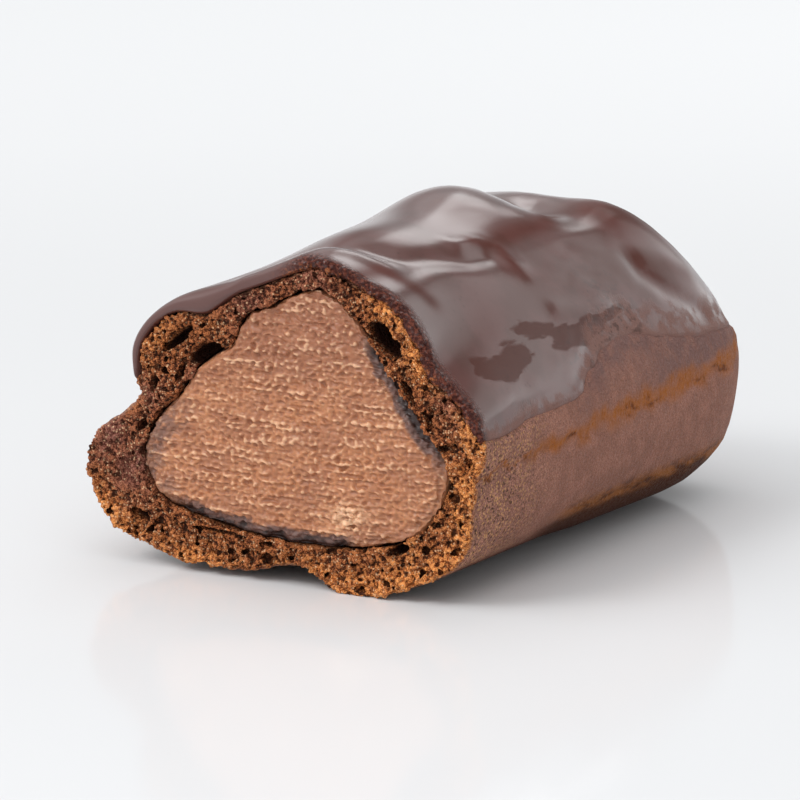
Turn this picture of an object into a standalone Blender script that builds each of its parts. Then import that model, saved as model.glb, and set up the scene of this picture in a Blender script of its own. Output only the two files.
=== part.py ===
"""Half of a glazed choux pastry with a cream filling, cut straight across.

X is the width and Y the length. The cut face looks along -Y, the closed
round end is at +Y, and Z = 0 is the table. Sizes are in millimetres until
the meshes are made.
"""

import math

import bpy
import numpy as np

MM = 0.001

# Whole object
CUT_Y = -31.5
END_Y = 31.5
DOME_Y = 17.0
COLUMNS_SLOPE = 12
COLUMNS_CROWN = 14
SIDE_COLUMNS = 3
COLUMNS_BARE = 42
COLUMNS_GLAZE = 2 * COLUMNS_SLOPE + COLUMNS_CROWN
RINGS_BODY = 16
RINGS_DOME = 7
RING_SPACING = 1.15
CROWN_ANGLES = (60, 122)

# How the closed end rounds off: powers of the cosine and sine
DOME_SIDEWAYS = 0.19
DOME_UPWARDS = 0.85
DOME_DOWNWARDS = 0.2
DOME_AHEAD = 0.9
DOME_TIP_SHORT = 0.37

# Glaze
GAP = 0.3
GLAZE = 0.9
GLAZE_RIM = 0.4
RIM_WIDTH = 3.5
COVER_PAST_RIM = 1.7
SKIN_TIP_BACK = 0.3
POOL = (-8.8, 2.6, 7.0, 1.6)
POOL_FROM_Z = 20

# Filling
CREAM_END_Y = 24.0
CREAM_DOME = 10.0
CREAM_DOME_POWER = 0.7
CREAM_DOME_RINGS = 3
CREAM_RINGS = 6
CREAM_SPACING = 1.3
CREAM_WIDENS_OVER = 16

# Baked shell
CRACK_DEPTH = 0.45
CRACK_LEFT_SHARE = 1.4
CRACK_FADE_IN = 6
CRACK_FADE_OUT = 8
CRACK_PAST_DOME = 10
CRUMB_DEPTH = 0.8
CRUMB_SHIFT = 0.25
CRUMB_RINGS = 2

# Plain colour and roughness of each solid
CHOUX_LOOK = ((0.15, 0.06, 0.03), 0.8)
CREAM_LOOK = ((0.36, 0.19, 0.12), 0.6)
GLAZE_LOOK = ((0.06, 0.025, 0.015), 0.15)

# Outlines of the cut face, X and Z, clockwise from the split on the left
CUT_OUTLINE = (
    (-15.5, 16.8), (-16.7, 18.9), (-17.1, 20.8), (-16.4, 23.2), (-14.6, 25.4),
    (-11.4, 27.5), (-7.2, 28.8), (-2.9, 30.0), (1.0, 31.5), (4.6, 32.6),
    (8.0, 31.7), (11.0, 30.4), (14.0, 28.9), (16.2, 26.3), (17.6, 23.2),
    (20.3, 20.7), (22.4, 18.6), (23.0, 16.5), (22.4, 13.2), (21.4, 10.2),
    (21.1, 6.8), (20.0, 4.2), (16.9, 2.2), (13.2, 0.7), (9.6, -0.2),
    (6.4, -0.1), (4.6, 0.9), (3.4, 2.1), (-0.3, 1.7), (-3.6, 0.7),
    (-7.4, 1.0), (-11.2, 0.8), (-14.6, 2.0), (-18.2, 2.7), (-20.6, 4.9),
    (-22.2, 7.9), (-22.7, 10.2), (-21.6, 12.8), (-19.4, 14.3), (-17.6, 15.3),
)
BODY_OUTLINE = (
    (-21.6, 15.0), (-21.7, 18.0), (-19.6, 21.6), (-16.0, 24.9), (-11.8, 27.6),
    (-7.2, 30.3), (-2.5, 32.8), (2.5, 33.4), (7.5, 32.0), (12.0, 29.6),
    (15.8, 26.8), (19.0, 23.2), (21.6, 19.2), (22.9, 15.5), (22.9, 12.0),
    (22.4, 8.5), (20.8, 5.4), (17.6, 2.5), (13.0, 0.6), (8.0, -0.2),
    (0.0, -0.4), (-8.0, -0.3), (-13.5, 0.1), (-18.2, 1.9), (-21.2, 5.0),
    (-22.5, 8.5), (-22.6, 12.0),
)
BACK_OUTLINE = (
    (-21.9, 15.0), (-21.5, 18.5), (-19.2, 22.6), (-15.8, 26.2), (-11.6, 29.2),
    (-6.8, 31.5), (-2.0, 32.4), (3.0, 32.2), (8.0, 31.8), (12.6, 30.0),
    (16.6, 26.8), (19.8, 22.8), (21.9, 18.8), (22.9, 15.0), (22.8, 11.8),
    (22.2, 8.2), (20.9, 4.8), (17.5, 2.0), (12.8, 0.4), (7.0, -0.2),
    (0.0, -0.4), (-7.0, -0.3), (-12.8, 0.3), (-17.4, 2.2), (-20.6, 5.0),
    (-22.2, 8.2), (-22.6, 11.8),
)
STATIONS = ((CUT_Y, CUT_OUTLINE), (-6.0, BODY_OUTLINE), (DOME_Y, BACK_OUTLINE))
CENTRES = ((4.0, 12.0), (1.0, 14.5), (0.0, 16.6))
NEAR_Y = -25.0
NEAR_SHARE = 0.45
TIP = (0.0, 16.8)

# Outline of the cream at the cut, then further in
CREAM_CUT = (
    (-13.4, 15.6), (-11.2, 17.4), (-9.8, 19.6), (-7.4, 21.5), (-5.0, 22.8),
    (-4.4, 24.3), (-3.8, 25.9), (-1.4, 27.0), (1.2, 28.1), (4.2, 29.3),
    (6.8, 28.3), (9.2, 26.0), (11.2, 23.2), (13.6, 20.0), (16.0, 16.8),
    (18.1, 14.6), (18.6, 12.3), (17.6, 9.2), (14.8, 6.5), (10.6, 5.0),
    (5.7, 4.5), (-0.6, 4.5), (-6.8, 5.3), (-12.0, 6.4), (-14.8, 8.4),
    (-15.7, 11.4), (-14.7, 13.6),
)
CREAM_BODY = (
    (-16.5, 15.0), (-15.6, 18.6), (-13.2, 22.0), (-9.6, 25.0), (-5.4, 27.4),
    (-0.8, 28.8), (4.0, 28.4), (8.6, 26.2), (12.4, 23.0), (15.4, 19.0),
    (17.0, 15.0), (16.8, 11.0), (14.8, 7.8), (10.6, 5.6), (4.0, 4.9),
    (-4.0, 4.9), (-10.6, 5.7), (-14.8, 8.0), (-16.6, 11.2),
)
CREAM_CENTRE = (4.0, 12.0)
CREAM_TIP = (0.0, 16.0)

# Height of lines along the sides, as (Y, Z)
EDGE_RIGHT = (
    (-31.5, 16.2), (-26.5, 15.8), (-21.9, 16.5), (-14.5, 16.6), (-10.0, 17.0),
    (-5.5, 19.4), (-1.0, 20.8), (4.5, 20.6), (11.0, 19.4), (17.0, 18.4),
)
EDGE_LEFT = (
    (-31.5, 18.6), (-27.0, 18.4), (-20.0, 18.8), (-12.0, 19.6), (-4.0, 18.6),
    (4.0, 18.0), (11.0, 18.9), (17.0, 18.2),
)
CRACK_RIGHT = ((-31.5, 12.6), (-18.0, 13.3), (-2.0, 14.3), (8.0, 14.7), (24.0, 14.7))
CRACK_LEFT = ((-31.5, 15.6), (-24.0, 15.0), (-8.0, 14.6), (24.0, 14.7))

# Hollows in the crumb at the cut: X, Z, half-length, half-width, turn, depth
PORES = (
    (11.9, 25.2, 2.4, 1.1, -43, 3.6),
    (-11.6, 23.2, 2.5, 0.6, 38, 2.6),
    (-8.5, 22.0, 2.3, 0.95, 28, 3.2),
    (-11.2, 19.9, 1.2, 0.55, 70, 2.0),
    (-2.4, 27.7, 0.5, 0.35, 10, 1.2),
    (0.5, 29.2, 0.55, 0.35, 60, 1.2),
    (5.4, 30.2, 0.6, 0.35, 0, 1.4),
    (7.6, 29.6, 0.4, 0.3, -30, 1.2),
    (14.5, 20.5, 1.5, 0.45, -55, 2.0),
    (16.8, 17.9, 1.0, 0.4, -58, 1.6),
    (18.3, 15.4, 0.5, 0.4, 0, 1.4),
    (19.0, 12.0, 0.7, 0.35, -75, 1.4),
    (13.5, 5.0, 1.3, 0.6, 25, 2.4),
    (9.5, 4.6, 0.5, 0.45, 0, 1.6),
    (5.8, 3.9, 1.1, 0.35, 3, 1.6),
    (-1.3, 3.8, 0.8, 0.35, 0, 1.4),
    (-6.8, 4.5, 4.0, 0.3, -4, 1.4),
    (-15.9, 14.2, 0.7, 0.4, 50, 1.8),
    (-16.2, 5.0, 1.2, 0.6, -30, 1.8),
    (-14.4, 18.6, 0.9, 0.5, 80, 1.8),
    (17.2, 21.2, 0.5, 0.35, -40, 1.2),
    (19.6, 6.6, 0.6, 0.4, 70, 1.4),
    (10.2, 2.6, 0.6, 0.4, 15, 1.4),
    (-12.2, 2.9, 0.6, 0.35, -10, 1.4),
    (-19.4, 8.2, 0.7, 0.45, 60, 1.6),
    (20.4, 14.6, 0.5, 0.35, -70, 1.2),
)

# Swells of the top: X, Y, half-width in X, half-width in Y, height
SWELLS = (
    (-1.0, 3.0, 8.0, 8.0, 1.9),
    (4.0, 13.5, 5.5, 4.5, -2.4),
    (9.5, 18.0, 6.0, 5.5, 0.8),
    (3.0, -23.5, 9.0, 3.5, -0.5),
)
SWELL_FROM_Z = 16
SWELL_RISE = 10
SWELL_START = 8


def through(at, knots, values):
    """Smooth values through the knots, level past both ends."""
    knots = np.asarray(knots, float)
    values = np.asarray(values, float)
    slopes = np.gradient(values, knots, axis=0)
    at = np.clip(np.asarray(at, float), knots[0], knots[-1])
    k = np.clip(np.searchsorted(knots, at, side="right") - 1, 0, len(knots) - 2)
    span = knots[k + 1] - knots[k]
    t = (at - knots[k]) / span
    shape = t.shape + (1,) * (values.ndim - 1)
    t, span = t.reshape(shape), span.reshape(shape)
    level = (1 + 2 * t) * (1 - t) ** 2 * values[k] + t**2 * (3 - 2 * t) * values[k + 1]
    lean = t * (1 - t) ** 2 * slopes[k] + t**2 * (t - 1) * slopes[k + 1]
    return level + span * lean


def line_height(line, y):
    """Height of a side line at Y."""
    knots, heights = zip(*line)
    return through(y, knots, heights)


def closed_curve(points, steps=12):
    """A smooth closed loop through the points."""
    p = np.array(points, float)
    before, after, next_two = np.roll(p, 1, 0), np.roll(p, -1, 0), np.roll(p, -2, 0)
    t = np.linspace(0, 1, steps, endpoint=False)[None, :, None]
    loop = 0.5 * (
        2 * p[:, None]
        + (after - before)[:, None] * t
        + (2 * before - 5 * p + 4 * after - next_two)[:, None] * t**2
        + (3 * p - before - 3 * after + next_two)[:, None] * t**3
    )
    return loop.reshape(-1, 2)


def polar(points, centre):
    """Gives the loop's point at each angle about the centre."""
    loop = closed_curve(points)
    offset = loop - centre
    angle = np.arctan2(offset[:, 1], offset[:, 0])
    order = np.argsort(angle)
    angle, radius = angle[order], np.hypot(*offset.T)[order]

    def at(theta):
        r = np.interp(theta, angle, radius, period=2 * math.pi)
        return np.stack([centre[0] + r * np.cos(theta), centre[1] + r * np.sin(theta)], -1)

    return at


SECTIONS = [polar(outline, centre) for (_, outline), centre in zip(STATIONS, CENTRES)]
STATION_Y = [CUT_Y, NEAR_Y, *(y for y, _ in STATIONS[1:])]


def section(theta, y):
    """X and Z of the body at these angles, at one Y before the dome."""
    cut, body, back = (at(theta) for at in SECTIONS)
    near = cut * (1 - NEAR_SHARE) + body * NEAR_SHARE
    return through(np.float64(y), STATION_Y, [cut, near, body, back])


def side_angle(height, y, side):
    """The angle at which the section reaches this height on one side."""
    theta = np.linspace(-0.35, 0.9, 500)
    if side == "left":
        theta = math.pi - theta
    z = section(theta, y)[:, 1]
    return float(np.interp(height, z, theta))


def ring_angles(y):
    """Angles of the columns: glaze edge to glaze edge over the top, then the bare side."""
    right = side_angle(line_height(EDGE_RIGHT, y), y, "right")
    left = side_angle(line_height(EDGE_LEFT, y), y, "left")
    crack_right = side_angle(line_height(CRACK_RIGHT, y), y, "right")
    crack_left = side_angle(line_height(CRACK_LEFT, y), y, "left")
    crown = np.radians(CROWN_ANGLES)
    top = np.concatenate(
        [
            np.linspace(right, crown[0], COLUMNS_SLOPE + 1)[:-1],
            np.linspace(*crown, COLUMNS_CROWN + 1)[:-1],
            np.linspace(crown[1], left, COLUMNS_SLOPE + 1),
        ]
    )
    near_left = np.linspace(left, crack_left, SIDE_COLUMNS + 1)[1:]
    near_right = np.linspace(crack_right, right, SIDE_COLUMNS + 1)[:-1] + 2 * math.pi
    low_columns = COLUMNS_BARE - 2 * SIDE_COLUMNS + 1
    low = np.linspace(crack_left, crack_right + 2 * math.pi, low_columns)[1:-1]
    return np.concatenate([top, near_left, low, near_right])


def body_rings():
    """Rings of points of the whole outside, X, Y, Z, from the cut to the dome."""
    along = np.linspace(0, 1, RINGS_BODY + 1) ** RING_SPACING
    ys = CUT_Y + (DOME_Y - CUT_Y) * along
    rings = []
    for y in ys:
        xz = section(ring_angles(y), y)
        rings.append(np.column_stack([xz[:, 0], np.full(len(xz), y), xz[:, 1]]))
    last = rings[-1]
    tip = np.array([TIP[0], 0.0, TIP[1]])
    for turn in np.linspace(0, 0.5 * math.pi, RINGS_DOME + 1)[1:-1]:
        y = DOME_Y + (END_Y - DOME_Y) * math.sin(turn) ** DOME_AHEAD
        offset = last - tip
        shrink_side = math.cos(turn) ** DOME_SIDEWAYS
        shrink_up = math.cos(turn) ** DOME_UPWARDS
        shrink_down = math.cos(turn) ** DOME_DOWNWARDS
        up = np.where(offset[:, 2] > 0, shrink_up, shrink_down)
        ring = np.column_stack(
            [tip[0] + offset[:, 0] * shrink_side, np.full(len(last), y), tip[2] + offset[:, 2] * up]
        )
        rings.append(ring)
    return np.array(rings)


def swell(points):
    """Raises and lowers the top by the named swells."""
    x, y, z = points[..., 0], points[..., 1], points[..., 2]
    lift = np.zeros_like(z)
    for cx, cy, wide, long, height in SWELLS:
        lift += height * np.exp(-(((x - cx) / wide) ** 2) - ((y - cy) / long) ** 2)
    on_top = np.clip((z - SWELL_FROM_Z) / SWELL_RISE, 0, 1)
    start = np.clip((y - CUT_Y) / SWELL_START, 0, 1)
    points = points.copy()
    points[..., 2] += lift * on_top * start
    points[..., 2] = np.maximum(points[..., 2], 0)
    return points


def grid_normals(points, tip):
    """Outward normals of a grid of rings that closes round and ends at the tip."""
    around = np.roll(points, -1, 1) - np.roll(points, 1, 1)
    ends = np.concatenate([points[:1], points, np.broadcast_to(tip, points[:1].shape)])
    along = ends[2:] - ends[:-2]
    normal = np.cross(along, around)
    return normal / np.linalg.norm(normal, axis=-1, keepdims=True)


def mesh_object(name, points, faces, look):
    """A named object of these points in millimetres, in its own material."""
    mesh = bpy.data.meshes.new(name)
    mesh.from_pydata((np.asarray(points) * MM).tolist(), [], faces)
    mesh.update()
    obj = bpy.data.objects.new(name, mesh)
    bpy.context.scene.collection.objects.link(obj)
    material = bpy.data.materials.new(name)
    material.use_nodes = True
    shader = material.node_tree.nodes["Principled BSDF"]
    colour, roughness = look
    shader.inputs["Base Color"].default_value = (*colour, 1)
    shader.inputs["Roughness"].default_value = roughness
    material.diffuse_color = (*colour, 1)
    mesh.materials.append(material)
    return obj


def strip_faces(lower, upper, closed=True):
    """Quads between two equal rows of point numbers."""
    count = len(lower) if closed else len(lower) - 1
    faces = []
    for i in range(count):
        k = (i + 1) % len(lower)
        faces.append((lower[i], upper[i], upper[k], lower[k]))
    return faces


def fan_faces(row, tip, closed=True):
    """Triangles from a row of point numbers to one point."""
    count = len(row) if closed else len(row) - 1
    return [(row[i], tip, row[(i + 1) % len(row)]) for i in range(count)]


def rows_of(start, rings, columns):
    """Point numbers of each ring."""
    return (start + np.arange(rings * columns).reshape(rings, columns)).tolist()


def turned(faces):
    """The same faces looking the other way."""
    return [face[::-1] for face in faces]


def clear_scene():
    """Takes the startup objects out."""
    for obj in list(bpy.data.objects):
        bpy.data.objects.remove(obj, do_unlink=True)


def ease(t):
    """Rises softly from 0 to 1 as t goes from 0 to 1."""
    t = np.clip(t, 0, 1)
    return t * t * (3 - 2 * t)


def rim_distance(rings):
    """Distance inside the glaze edge along each ring, negative on the bare side."""
    step = np.linalg.norm(np.roll(rings, -1, 1) - rings, axis=-1)
    columns = rings.shape[1]
    along = np.concatenate([np.zeros((len(rings), 1)), np.cumsum(step, 1)], 1)
    whole = along[:, -1:]
    edge = along[:, COLUMNS_GLAZE : COLUMNS_GLAZE + 1]
    here = along[:, :columns]
    inside = np.minimum(here, edge - here)
    outside = np.minimum(here - edge, whole - here)
    return np.where(np.arange(columns) <= COLUMNS_GLAZE, inside, -outside)


def pool_depth(points):
    """Extra glaze where it ran together beside the cut."""
    x, wide, long, depth = POOL
    bump = np.exp(-(((points[..., 0] - x) / wide) ** 2))
    fade = np.exp(-(((points[..., 1] - CUT_Y) / long) ** 2))
    return depth * bump * fade * (points[..., 2] > POOL_FROM_Z)


def glaze_layers(rings, normals, tip):
    """The skin under the glaze, and the glaze's two faces, each with its tip."""
    inside = rim_distance(rings)
    pool = pool_depth(rings)
    cover = ease((inside + COVER_PAST_RIM) / RIM_WIDTH)
    thick = GLAZE_RIM + (GLAZE - GLAZE_RIM) * ease(inside / RIM_WIDTH) + pool
    sunk = (GAP + GLAZE) * cover + pool
    skin = rings - normals * sunk[..., None]
    under = skin + normals * GAP
    over = under + normals * thick[..., None]
    back = np.array([0.0, 1.0, 0.0])
    low_tip = tip - back * SKIN_TIP_BACK
    return skin, low_tip, under, low_tip + back * GAP, over, low_tip + back * (GAP + GLAZE_RIM)


def groove(skin, normals):
    """Presses the long cracks into both sides."""
    y = skin[..., 1]
    fade = ease((DOME_Y + CRACK_PAST_DOME - y) / CRACK_FADE_OUT)
    waver = 1 + 0.3 * np.sin(y * 0.9) + 0.2 * np.sin(y * 2.3 + 1)
    columns = skin.shape[1]
    depth = np.zeros(skin.shape[:2])
    depth[:, columns - SIDE_COLUMNS] = 1.0
    depth[:, COLUMNS_GLAZE + SIDE_COLUMNS] = CRACK_LEFT_SHARE * ease((y[:, 0] - CUT_Y) / CRACK_FADE_IN)
    return skin - normals * (CRACK_DEPTH * depth * fade * waver)[..., None]


def cream_section(theta, y):
    """X and Z of the filling at these angles: its shape at the cut, then wider further in."""
    cut = polar(CREAM_CUT, CREAM_CENTRE)(theta)
    body = polar(CREAM_BODY, CENTRES[1])(theta)
    blend = ease((y - CUT_Y) / CREAM_WIDENS_OVER)
    return cut * (1 - blend) + body * blend


def hollow_rings(theta, grow):
    """Rings of the filling at these angles, or of the hollow round it when grown."""
    dome_y = CREAM_END_Y - CREAM_DOME
    rings = []
    for y in CUT_Y + (dome_y - CUT_Y) * np.linspace(0, 1, CREAM_RINGS + 1) ** CREAM_SPACING:
        xz = cream_section(theta, y)
        ahead = np.roll(xz, -1, 0) - np.roll(xz, 1, 0)
        out = np.column_stack([ahead[:, 1], -ahead[:, 0]])
        xz = xz + grow * out / np.linalg.norm(out, axis=1, keepdims=True)
        rings.append(np.column_stack([xz[:, 0], np.full(len(xz), y), xz[:, 1]]))
    last = rings[-1]
    tip = np.array([CREAM_TIP[0], 0.0, CREAM_TIP[1]])
    for turn in np.linspace(0, 0.5 * math.pi, CREAM_DOME_RINGS + 1)[1:-1]:
        ring = tip + (last - tip) * math.cos(turn) ** CREAM_DOME_POWER
        ring[:, 1] = dome_y + (CREAM_END_Y + grow - dome_y) * math.sin(turn)
        rings.append(ring)
    return np.array(rings), np.array([tip[0], CREAM_END_Y + grow, tip[2]])


def crumb_rings(outer, inner):
    """Rings across the cut face between the skin and the hollow, with crags."""
    rng = np.random.default_rng(11)
    rings = []
    for k in range(1, CRUMB_RINGS + 1):
        share = k / (CRUMB_RINGS + 1)
        ring = outer * (1 - share) + inner * share
        ring[:, 0] += rng.uniform(-CRUMB_SHIFT, CRUMB_SHIFT, len(ring))
        ring[:, 2] += rng.uniform(-CRUMB_SHIFT, CRUMB_SHIFT, len(ring))
        ring[:, 1] = CUT_Y + rng.uniform(0.0, CRUMB_DEPTH, len(ring))
        rings.append(ring)
    return np.array(rings)


def hollow_angles(skin):
    """Angles about the cream's centre that line up with the skin's columns."""
    offset = skin[0][:, [0, 2]] - CREAM_CENTRE
    return np.arctan2(offset[:, 1], offset[:, 0])


def make_shell(skin, tip):
    columns = skin.shape[1]
    hollow, end = hollow_rings(hollow_angles(skin), GAP)
    crumb = crumb_rings(skin[0], hollow[0])
    points = np.concatenate([skin.reshape(-1, 3), [tip]])
    outside = rows_of(0, len(skin), columns)
    across = rows_of(len(points), CRUMB_RINGS, columns)
    points = np.concatenate([points, crumb.reshape(-1, 3)])
    inside = rows_of(len(points), len(hollow), columns)
    points = np.concatenate([points, hollow.reshape(-1, 3), [end]])
    faces = []
    for lower, upper in zip(outside, outside[1:]):
        faces += strip_faces(lower, upper)
    faces += fan_faces(outside[-1], len(skin) * columns)
    rows = [outside[0], *across, *inside]
    for lower, upper in zip(rows, rows[1:]):
        faces += turned(strip_faces(lower, upper))
    faces += turned(fan_faces(inside[-1], len(points) - 1))
    return mesh_object("choux_shell", points, faces, CHOUX_LOOK)


def make_filling(skin):
    rings, end = hollow_rings(hollow_angles(skin), 0.0)
    rows = rows_of(0, len(rings), rings.shape[1])
    points = [*rings.reshape(-1, 3), end]
    faces = [tuple(rows[0])]
    for lower, upper in zip(rows, rows[1:]):
        faces += strip_faces(lower, upper)
    faces += fan_faces(rows[-1], len(points) - 1)
    return mesh_object("cream_filling", points, faces, CREAM_LOOK)


def make_glaze(under, under_tip, over, over_tip):
    under = under[:, : COLUMNS_GLAZE + 1]
    over = over[:, : COLUMNS_GLAZE + 1]
    rings, columns = over.shape[:2]
    points = np.concatenate([over.reshape(-1, 3), [over_tip], under.reshape(-1, 3), [under_tip]])
    top = rows_of(0, rings, columns)
    low = rows_of(rings * columns + 1, rings, columns)
    top_tip, low_tip = rings * columns, len(points) - 1
    faces = turned(strip_faces(top[0], low[0], closed=False))
    for j in range(rings - 1):
        faces += strip_faces(top[j], top[j + 1], closed=False)
        faces += turned(strip_faces(low[j], low[j + 1], closed=False))
    faces += fan_faces(top[-1], top_tip, closed=False)
    faces += turned(fan_faces(low[-1], low_tip, closed=False))
    right = [row[0] for row in top] + [top_tip], [row[0] for row in low] + [low_tip]
    left = [row[-1] for row in top] + [top_tip], [row[-1] for row in low] + [low_tip]
    faces += strip_faces(*right, closed=False)
    faces += turned(strip_faces(*left, closed=False))
    return mesh_object("chocolate_glaze", points, faces, GLAZE_LOOK)


def cut_pores(shell):
    """Takes the hollows out of the crumb with stretched balls."""
    cutters = bpy.data.collections.new("pores")
    bpy.context.scene.collection.children.link(cutters)
    for x, z, half_long, half_wide, turn, depth in PORES:
        bpy.ops.mesh.primitive_ico_sphere_add(subdivisions=2, radius=1)
        ball = bpy.context.object
        ball.scale = (half_long * MM, depth * MM, half_wide * MM)
        ball.rotation_euler = (0, -math.radians(turn), 0)
        ball.location = (x * MM, CUT_Y * MM, z * MM)
        ball.hide_render = True
        ball.display_type = "WIRE"
        for owner in list(ball.users_collection):
            owner.objects.unlink(ball)
        cutters.objects.link(ball)
    boolean = shell.modifiers.new("pores", "BOOLEAN")
    boolean.operation = "DIFFERENCE"
    boolean.operand_type = "COLLECTION"
    boolean.collection = cutters
    boolean.solver = "EXACT"


def main():
    clear_scene()
    rings = swell(body_rings())
    tip = np.array([TIP[0], END_Y - DOME_TIP_SHORT, TIP[1]])
    normals = grid_normals(rings, tip)
    skin, low_tip, under, under_tip, over, over_tip = glaze_layers(rings, normals, tip)
    skin = groove(skin, normals)
    skin[0, :, 1] = CUT_Y
    under[0, :, 1] = CUT_Y
    over[0, :, 1] = CUT_Y
    shell = make_shell(skin, low_tip)
    make_filling(skin)
    make_glaze(under, under_tip, over, over_tip)
    cut_pores(shell)


main()
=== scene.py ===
# %% [markdown]
# # Half a chocolate eclair
# The part is half of an oblong choux pastry: a baked cocoa shell, a firm chocolate cream inside it,
# and a poured coat of dark chocolate on top. Its true shape is the CAD part, which is loaded first
# and never changed. Each step below copies one solid of it, works the copy over as a baker's eye
# would see it, and gives it a finish.

# %% Load the part and note its size
import math

import bpy
import numpy as np
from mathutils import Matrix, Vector
from mathutils.bvhtree import BVHTree
from mathutils.kdtree import KDTree


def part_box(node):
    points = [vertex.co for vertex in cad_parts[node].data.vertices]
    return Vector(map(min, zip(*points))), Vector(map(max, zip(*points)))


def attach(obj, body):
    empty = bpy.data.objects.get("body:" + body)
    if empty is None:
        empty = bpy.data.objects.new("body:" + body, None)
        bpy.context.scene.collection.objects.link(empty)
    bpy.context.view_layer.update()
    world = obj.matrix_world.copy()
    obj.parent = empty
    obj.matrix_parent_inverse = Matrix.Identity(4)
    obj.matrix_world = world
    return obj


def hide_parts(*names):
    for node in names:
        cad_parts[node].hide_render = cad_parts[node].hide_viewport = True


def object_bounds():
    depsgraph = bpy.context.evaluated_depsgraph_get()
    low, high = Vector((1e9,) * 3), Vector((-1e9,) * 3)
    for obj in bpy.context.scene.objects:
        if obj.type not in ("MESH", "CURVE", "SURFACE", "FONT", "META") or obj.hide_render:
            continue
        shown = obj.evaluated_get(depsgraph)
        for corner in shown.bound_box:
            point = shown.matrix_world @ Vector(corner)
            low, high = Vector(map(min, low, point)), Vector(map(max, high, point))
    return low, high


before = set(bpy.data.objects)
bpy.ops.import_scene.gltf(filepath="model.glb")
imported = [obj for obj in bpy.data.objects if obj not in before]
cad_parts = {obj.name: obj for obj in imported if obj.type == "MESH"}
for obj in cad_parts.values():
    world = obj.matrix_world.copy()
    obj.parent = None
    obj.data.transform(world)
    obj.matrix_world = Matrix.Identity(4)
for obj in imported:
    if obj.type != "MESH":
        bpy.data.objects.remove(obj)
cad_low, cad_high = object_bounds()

MM = 0.001
CUT_Y = cad_low.y / MM
print("cut face at", round(CUT_Y, 2), "mm, height", round(cad_high.z / MM, 2), "mm")

# %% [markdown]
# A few small helpers serve every piece. A copy of a solid is merged first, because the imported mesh
# is loose triangles. A modifier is added and applied in one go, so that each line reads as one move
# of the hand. Numbers that change over a piece, such as how deep a hollow is, are kept on its
# points: as attributes, which the materials read, or as the weights of a vertex group, which the
# modifiers read.

# %% Helpers for pieces
def select_only(piece):
    bpy.ops.object.select_all(action="DESELECT")
    piece.select_set(True)
    bpy.context.view_layer.objects.active = piece


def merged_copy(node, name):
    piece = bpy.data.objects.new(name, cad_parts[node].data.copy())
    piece.data.name = name
    piece.data.materials.clear()
    bpy.context.scene.collection.objects.link(piece)
    select_only(piece)
    bpy.ops.object.mode_set(mode="EDIT")
    bpy.ops.mesh.select_all(action="SELECT")
    bpy.ops.mesh.remove_doubles(threshold=0.001 * MM)
    bpy.ops.object.mode_set(mode="OBJECT")
    if piece.data.has_custom_normals:
        bpy.ops.mesh.customdata_custom_splitnormals_clear()
    return piece


def apply_modifier(piece, kind, **settings):
    select_only(piece)
    modifier = piece.modifiers.new(kind.title(), kind)
    for key, value in settings.items():
        setattr(modifier, key, value)
    bpy.ops.object.modifier_apply(modifier=modifier.name)


def triangles(piece):
    return sum(len(face.vertices) - 2 for face in piece.data.polygons)


# %% Helpers for numbers on the points
def points_of(piece):
    flat = np.empty(3 * len(piece.data.vertices), np.float32)
    piece.data.vertices.foreach_get("co", flat)
    return flat.reshape(-1, 3).astype(float) / MM


def normals_of(piece):
    flat = np.empty(3 * len(piece.data.vertices), np.float32)
    piece.data.vertex_normals.foreach_get("vector", flat)
    return flat.reshape(-1, 3).astype(float)


def place_points(piece, points):
    piece.data.vertices.foreach_set("co", (np.asarray(points) * MM).astype(np.float32).ravel())
    piece.data.update()


def store(piece, name, values):
    """Keeps one number for each point, under a name that the material reads."""
    layer = piece.data.attributes.new(name, "FLOAT", "POINT")
    layer.data.foreach_set("value", np.asarray(values, np.float32))


def ease(t):
    """A soft step: ease((y - start) / width) rises from 0 at the start to 1 a width further on."""
    t = np.clip(t, 0, 1)
    return t * t * (3 - 2 * t)


WEIGHT_STEPS = 50


def weight_group(piece, name, values):
    """Fills a vertex group one even step at a time, which is quicker than point by point."""
    group = piece.vertex_groups.new(name=name)
    level = np.round(np.clip(values, 0, 1) * WEIGHT_STEPS).astype(int)
    for step in range(1, WEIGHT_STEPS + 1):
        group.add(np.flatnonzero(level == step).tolist(), step / WEIGHT_STEPS, "REPLACE")
    return name


# %% [markdown]
# Food is never smooth. Its relief comes from the Displace modifier, which pushes points along their
# normals by a cloudy pattern. An empty gives the pattern its size and stretch: where the empty is
# wide and low, so are the marks. A weight group says where on the piece the relief is felt.

# %% Relief by a cloudy pattern
def cloud_texture(name, kind="CLOUDS", **settings):
    texture = bpy.data.textures.new(name, kind)
    for key, value in settings.items():
        setattr(texture, key, value)
    return texture


def roughen(piece, weights, texture, size, height, turn=0.0, level=0.5):
    """Pushes the points by the pattern. Size is one pattern unit in mm along X, Y and Z."""
    guide = bpy.data.objects.new("guide", None)
    bpy.context.scene.collection.objects.link(guide)
    guide.scale = [side * MM for side in size]
    guide.rotation_euler = (0, turn, 0)
    bpy.context.view_layer.update()
    group = weight_group(piece, "relief", weights)
    apply_modifier(
        piece, "DISPLACE", texture=texture, texture_coords="OBJECT", texture_coords_object=guide,
        strength=height * MM, mid_level=level, vertex_group=group,
    )
    piece.vertex_groups.remove(piece.vertex_groups[group])
    bpy.data.objects.remove(guide)


def press(piece, weights, height):
    """Lifts or sinks the points by their weights alone."""
    group = weight_group(piece, "press", weights)
    apply_modifier(piece, "DISPLACE", strength=height * MM, mid_level=0, vertex_group=group)
    piece.vertex_groups.remove(piece.vertex_groups[group])


def keep_in_box(piece):
    low, high = np.array(cad_low) / MM, np.array(cad_high) / MM
    place_points(piece, np.clip(points_of(piece), low, high))


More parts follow.
